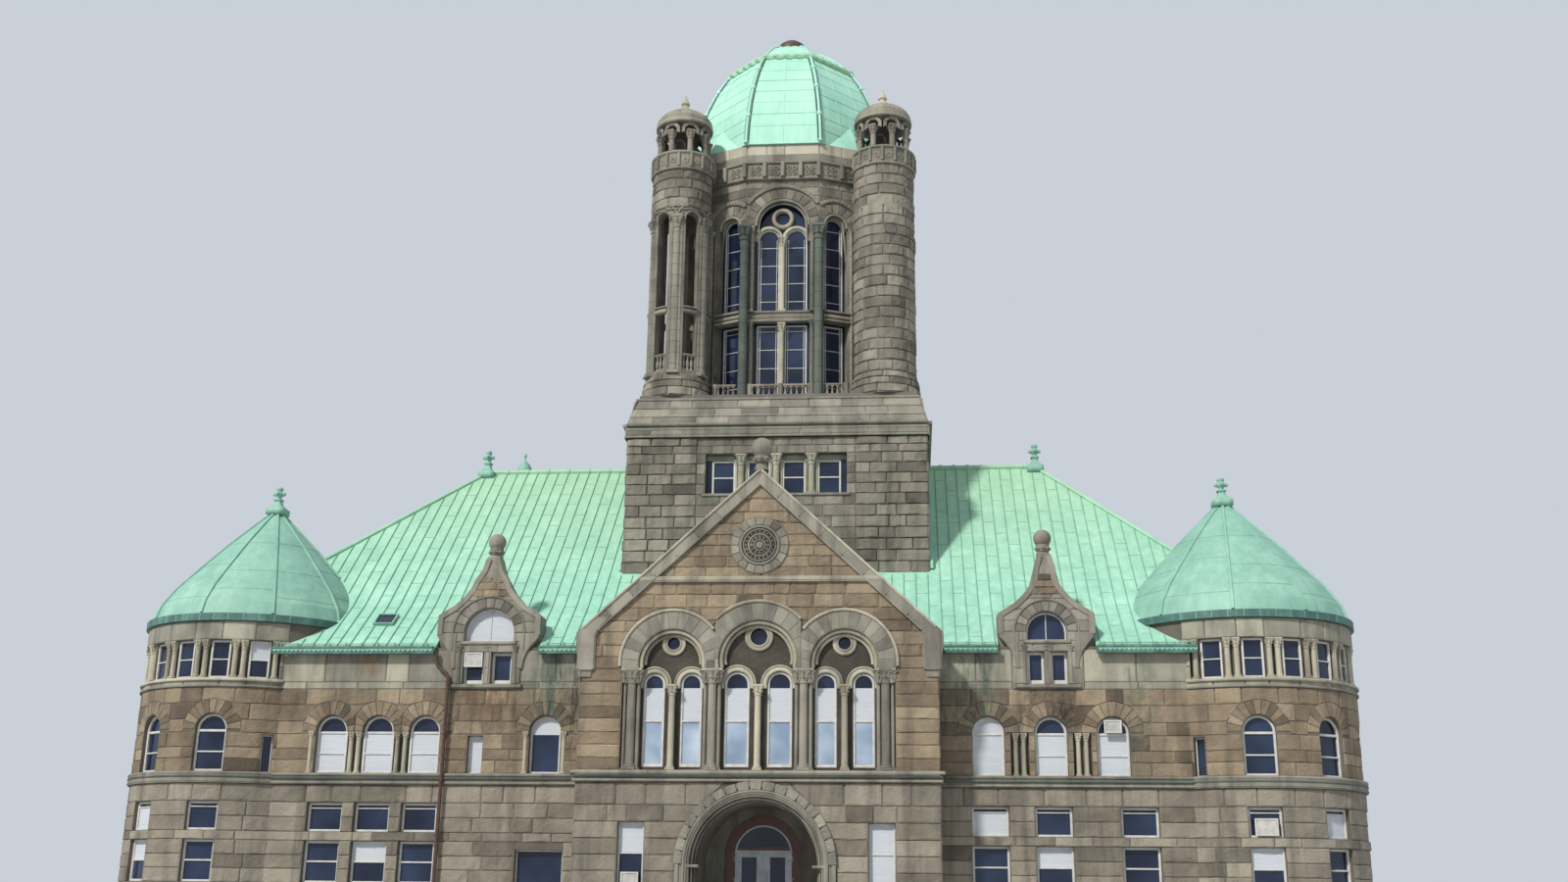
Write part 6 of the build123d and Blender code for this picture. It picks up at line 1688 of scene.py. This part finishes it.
green_stain_and_shade_trim.append(across(pavilion, 2.79, -3.2, 3.2, roll(0.03, 0.085)))
trim.append(across(pavilion, 2.72, -3.2, 3.2, roll(0.022, 0.066)))
trim += [boss(pavilion, u, 2.745, 0.02, 0.065, 0.014, 4, 4, 8) for u in np.arange(-3.15, 3.16, 0.1)]
for sign in (-1, 1):
    side_wall = flat(sign * 3.15, 0, sign * 90)
    ends = (-1.04, 0.04) if sign < 0 else (-0.04, 1.04)
    for z, size, out, where in BELT[:2]:
        where.append(across(side_wall, z, ends[0], ends[1], roll(size, out)))
LEAVES = [(0, 4.4), (0.05, 4.4), (0.06, 4.45, 0, 0.15), (0.085, 4.52, 0, 0.2), (0.07, 4.54, 0.3), (0.1, 4.6, 0.6, 0.15),
          (0.1, 4.61, 1), (0, 4.61)]
for x in CLUSTERS:
    light_trim.append(across(pavilion, 4.63, x - 0.185, x + 0.185, bar(0.045, -0.2, 0.05)))
    trim += [turned(LEAVES, spot(pavilion, x + s, -0.04)) for s in (-0.12, 0, 0.12)]
for s in (-1, 1):
    trim.append(across(pavilion, 1.29, s * 1.09 - 0.12, s * 1.09 + 0.12, bar(0.05, -0.4, 0.06)))
assemble("stone_mouldings", trim, dressed)
assemble("light_mouldings", light_trim, cream)
assemble("green_mouldings", green_stain_and_shade_trim, stained)
print(len(trim) + len(light_trim) + len(green_stain_and_shade_trim), "mouldings")

# %% Entrance ring, rosette and balls
arch_stones("entrance_ring", flat(0, -0.066), [(0, 1.315, 1.24, 1.4, 0)], dressed, 19, (9, 9), proud=0.03, rough=0.5,
            grid=(8, 6))
extra = []
for r, size, out in ((1.225, 0.026, 0.06), (1.19, 0.02, 0.045), (1.15, 0.026, 0.02), (1.1, 0.022, -0.05),
                     (1.065, 0.018, -0.2)):
    extra.append(strip(pavilion, arch_line(0, r, 0.62, 1.315, r, 0, 36), roll(size, out)))
for r in (0.1, 0.2, 0.29):
    extra.append(strip(pavilion, circle(0, ROSETTE_Z, r, count=40), roll(0.014, 0.045, count=6), closed=True))
extra.append(strip(pavilion, circle(0, ROSETTE_Z, 0.345, count=48), roll(0.024, 0.04), closed=True))
for r, count, size in ((0.245, 20, 0.03), (0.15, 12, 0.034), (0.0, 1, 0.075)):
    for a in np.linspace(0, 2 * math.pi, count, endpoint=False):
        extra.append(boss(pavilion, r * math.cos(a), ROSETTE_Z + r * math.sin(a), size, 0.04, 0.02, 4, 5, 12))
assemble("entrance_rolls_and_rosette", extra, dressed)
inner, outer = 0.37, 0.525
stones("rosette_ring", ring_on(flat(0, -0.03), 0, ROSETTE_Z, inner, outer),
       row_of(np.linspace(0, 2 * math.pi, 19), inner, outer), dressed, gap=0.012, proud=0.02, rough=0.4, grid=(6, 6),
       seed=160, tone=0.45)

collars, balls = [], [(0, 0.12, 8.5, 0.11)]
for middle, wide, lunette in DORMERS:
    balls += [(middle, WING_Y + 0.15, 7.02, 0.1), (-middle, REAR_Y - 0.15, 7.02, 0.1)]
for x, y, z, r in balls:
    collars.append(turned([(0, z - 0.06), (r, z - 0.06), (1.25 * r, z - 0.03, 0, 0.1), (1.4 * r, z + 0.01, 0, 0.16),
                           (1.2 * r, z + 0.04), (1.28 * r, z + 0.06), (0.9 * r, z + 0.08), (0, z + 0.08)], (x, y, 0)))
    ring_at = np.linspace(0, 2 * math.pi, 14, endpoint=False)
    centres = np.stack([x + 1.3 * r * np.cos(ring_at), y + 1.3 * r * np.sin(ring_at), 0 * ring_at + z], 1)
    collars.append(turned([(0, -0.02), (0.016, -0.012), (0.022, 0), (0.016, 0.012), (0, 0.02)], centres, 8))
assemble("ball_collars", collars, dressed)
print(len(made), "pieces")

# %% Dormer copings
def infill_ends(x, wide):
    """The ends of the rough triangle over a lunette at a height."""
    half_at = lambda z: max(0.02, np.interp(z, (5.9, 6.3, 6.62), (wide - 0.44, wide - 0.68, 0.08)))
    return lambda z: (x - half_at(z), x + half_at(z))


sweeps = []
for side, place in DORMER_WALLS.items():
    for k, (x, wide, lunette) in enumerate(DORMERS):
        steps = np.array([(wide, 5.42), (wide, 5.76), (wide - 0.11, 5.83), (wide - 0.285, 5.935), (wide - 0.45, 6.09),
                          (wide - 0.585, 6.265), (wide - 0.66, 6.43), (0.185, 6.63), (0.12, 6.86)])
        inset = np.array([0.055, 0.055, 0.05, 0.05, 0.05, 0.05, 0.045, 0.04, 0.04])
        for sign in (-1, 1):
            path = np.stack([x + sign * (steps[:, 0] - inset), steps[:, 1]], 1)
            sweeps.append(strip(place, path, bar(0.105, -0.01, 0.034)))
        sweeps.append(strip(place, arch_line(x, lunette, 5.32, 5.46, lunette, -0.21), roll(0.018, 0.02)))
        sweeps.append(across(place, 5.27, x - lunette - 0.05, x + lunette + 0.05, bar(0.06, -0.03, 0.045)))
        sweeps.append(across(place, 4.47, x - lunette - 0.2, x + lunette + 0.2, bar(0.07, -0.02, 0.05)))
        foot = lunette + np.array([0.2, 0.22, 0.27, 0.36, wide - lunette - 0.03, wide - lunette])
        for edges in ((x - foot, x - lunette - 0.12 + 0 * foot), (x + lunette + 0.12 + 0 * foot, x + foot)):
            sweeps.append(panel(place, [4.8, 4.95, 5.1, 5.22, 5.36, 5.45], *edges, -0.3, 0.028))
        for a, b in ((x - wide, x - lunette - 0.12), (x + lunette + 0.12, x + wide)):
            sweeps.append(panel(place, [4.95, 5.45], (a, a), (b, b), -0.32, -0.14))
        for s in (-1.12, 0, 1.12):
            r = 0.036 if s else 0.045
            sweeps.append(post(place, x + s * lunette, 0.0 if s else -0.04, r, 4.515, 5.22))
        triangle = lay(infill_ends(x, wide), (6.14, 6.27, 6.4, 6.52), 0.3, (), 170 + k)
        stones(f"{side}_dormer_infill_{k + 1}", place, triangle, brown, proud=0.036, rough=0.5, seed=170 + k)
assemble("dormer_copings", sweeps, dressed)
print(sum(made.values()), "triangles so far")

# %% Cornice of the great tower and the lantern's plain bands
def weathering(place):
    """A side of the cornice's slope, which leans in by 0.19 over a rise of 0.6 and narrows as it goes up."""
    return lambda u, out, z: place(u * (1 - 0.04 * (z - 10.1)), out + 0.012 - (z - 10.1) * 0.19 / 0.6, z)


steps = []
for k in range(4):
    for z, reach, profile in ((9.84, 3.055, bar(0.05, 0, 0.085)), (10.0, 3.055, roll(0.025, 0.06)),
                              (10.085, 3.055, bar(0.06, 0, 0.125)), (10.3, 3.0, bar(0.05, -0.03, 0.05)),
                              (10.5, 2.95, bar(0.05, -0.04, 0.035)), (10.69, 2.9, bar(0.06, -0.05, 0.05))):
        end = reach + 0.03
        steps.append(across(tower_side(k, reach), z, -end, end, profile))
    place = tower_side(k, 3.09)
    stones(f"cornice_stones_{k + 1}", shifted(place, 0.028), lay((-3.1, 3.1), (9.87, 10.05), 0.62, (), 180 + k),
           dressed, proud=0.008, rough=0.1, seed=180 + k, tone=0.45)
    blocks = lay((-3.06, 3.06), (10.115, 10.275, 10.475, 10.665), 0.8, (), 185 + k)
    stones(f"weathering_stones_{k + 1}", weathering(place), blocks, dressed, proud=0.014, rough=0.2, seed=185 + k,
           tone=0.55)
for i, (place, half_wall) in enumerate(lantern):
    blocks = lay((-half_wall + 0.004, half_wall - 0.004), (16.62, 16.868), 0.5, (), 190 + i)
    stones(f"cream_band_{i + 1}", shifted(place, 0.022), blocks, cream, proud=0.006, rough=0.1, grid=(6, 6),
           seed=190 + i, tone=0.75)
assemble("tower_cornice_steps", steps, dressed)

jambs = []
for k in range(4):
    face = tower_side(k)
    for u in (-0.72, 0, 0.72):
        jambs.append(upward(face, u, 8.62, 9.4, bar(0.23, -0.2, -0.155)))
    jambs.append(across(face, 9.42, -1.43, 1.43, bar(0.11, -0.2, -0.14)))
    jambs.append(across(face, 8.6, -1.5, 1.5, bar(0.06, -0.03, 0.045)))
    jambs += [across(face, 9.455, u - 0.13, u + 0.13, bar(0.04, -0.16, 0.0)) for u in (-0.72, 0, 0.72)]
assemble("tower_window_jambs", jambs, dressed)
print(sum(made.values()), "triangles so far")

# %% Spikes and cores of the belvederes
SPIKE = [(0, 17.66), (0.17, 17.68), (0.15, 17.76), (0.075, 17.82), (0.07, 17.86), (0.1, 17.9), (0.075, 17.97),
         (0.03, 18.06), (0, 18.16)]
CORE = [(0, 16.43), (0.36, 16.43), (0.36, 16.5), (0.3, 16.54), (0.3, 17.1), (0.36, 17.2), (0, 17.22)]
spikes, cores = [], []
for x, y, away in TURRETS:
    spikes.append(turned(SPIKE, (x, y, 0)))
    cores.append(turned(CORE, (x, y, 0)))
    for radius, z, size in ((0.62, 17.26, 0.02), (0.6, 17.36, 0.012)):
        spikes.append(hoop(x, y, radius, z, roll(size, 0.0), 33))
assemble("belvedere_spikes", spikes, cream)
# The dark cores paint the shade inside the open belvederes.
assemble("belvedere_cores", cores, shadowed)

# %% Fanlight arc and the doors' trim
doorway = flat(0, 1.56)
arcs = [strip(doorway, circle(0, 1.52, 0.505, 0.02, math.pi - 0.02, 24), bar(0.035, -0.02, 0.012)),
        across(doorway, 1.545, -0.52, 0.52, bar(0.03, -0.02, 0.012))]
assemble("fanlight_bars", arcs, door_white)
print(len(arcs), "bars")

# %% Plinth stones
BASE = (0.01, 0.18, 0.36, 0.54)


def within(place):
    """The same place with x held between the ends of the solids' box, so that no stone stands out of it."""
    def at(u, out, z):
        points = place(u, out, z)
        points[..., 0] = np.clip(points[..., 0], cad_low[0], cad_high[0])
        return points
    return at


OUT = 0.075
bases = [("left", flat(0, WING_Y - OUT), (-9.05, -3.225)), ("right", flat(0, WING_Y - OUT), (3.225, 7.62)),
         ("middle_left", flat(0, -OUT), (-3.22, -1.4)), ("middle_right", flat(0, -OUT), (1.4, 3.22)),
         ("left_side", flat(LEFT_X - OUT, TOWER_Y, -90), (-5.18, 2.0)),
         ("right_side", flat(RIGHT_X + OUT, TOWER_Y, 90), (-2.0, 5.18)),
         ("rear", flat(0, REAR_Y + OUT, 180), (-10.44, 11.86)),
         ("left_return", flat(-3.225, 0, -90), (-0.97, 0.07)), ("right_return", flat(3.225, 0, 90), (-0.07, 0.97))]
for name, cx, span in zip(("round_left", "round_right"), ROUND_X, ROUND_SPANS):
    bases.append((name, within(drum(cx, ROUND_Y, 2.205)), [2.205 * math.radians(a) for a in span]))
for i, (name, place, ends) in enumerate(bases):
    stones(f"plinth_stones_{name}", place, lay(ends, BASE, 0.9, (), 200 + i), grey, proud=0.016, rough=0.35,
           seed=200 + i, tone=0.35)
print(len(bases), "stretches of plinth")

# %% Arches and balusters of the open turret
x, y, away = TURRETS[0]
shaft_wall = drum(x, y, 0.64)
openings = [0.64 * math.pi / 3 * j for j in range(6)]
arch_stones("open_turret_arch", shaft_wall, [(u, 14.85, 0.15, 0.31, 0) for u in openings], tower, 7, (0.33, 0.33),
            rough=0.2, grid=(5, 5), slot="dressed_granite")
fittings = []
for u in openings:
    fittings.append(strip(shaft_wall, arch_line(u, 0.15, 14.82, 14.85, 0.15, -0.02), roll(0.02, 0.015)))
    for z, thick, out in ((12.72, 0.09, 0.03), (12.8, 0.03, 0.05), (11.75, 0.04, -0.02), (11.38, 0.05, -0.01)):
        fittings.append(strip(shaft_wall, [(u - 0.155, z), (u, z), (u + 0.155, z)], bar(thick, out - 0.12, out)))
    spots = shaft_wall(u + np.array([-0.1, 0.0, 0.1]), np.full(3, -0.07), np.full(3, 0.56))
    fittings.append(turned(BALUSTER, spots, 8))
    fittings.append(strip(shaft_wall, circle(u, 14.85, 0.34, 0.2, math.pi - 0.2, 16), bar(0.03, 0.0, 0.035)))
assemble("open_turret_fittings", fittings, dressed)

# %% Beads round the door panes
for name, sign in (("left", -1), ("right", 1)):
    edge = sorted((sign * 0.1125, sign * 0.4))
    middle, half = sum(edge) / 2, (edge[1] - edge[0]) / 2
    beads = [strip(doorway, outline(middle, half, low, high), bar(0.018, -0.006, 0.006), closed=True)
             for low, high in ((0.97, 1.49), (0.64, 0.92))]
    beads += [across(doorway, z, middle - half + 0.03, middle + half - 0.03, bar(0.012, 0.0, 0.007))
              for z in (0.7, 0.78, 0.86)]
    assemble(f"{name}_door_beads", beads, door_white, body=f"{name}_leaf", slot="white_door")
print(len(made), "pieces", sum(made.values()), "triangles")

# %% [markdown]
# ## Size of the solids
#
# The box of the solids is printed.

# %% Print the box of the solids
print("solids", [round(float(v), 3) for v in cad_low], [round(float(v), 3) for v in cad_high])
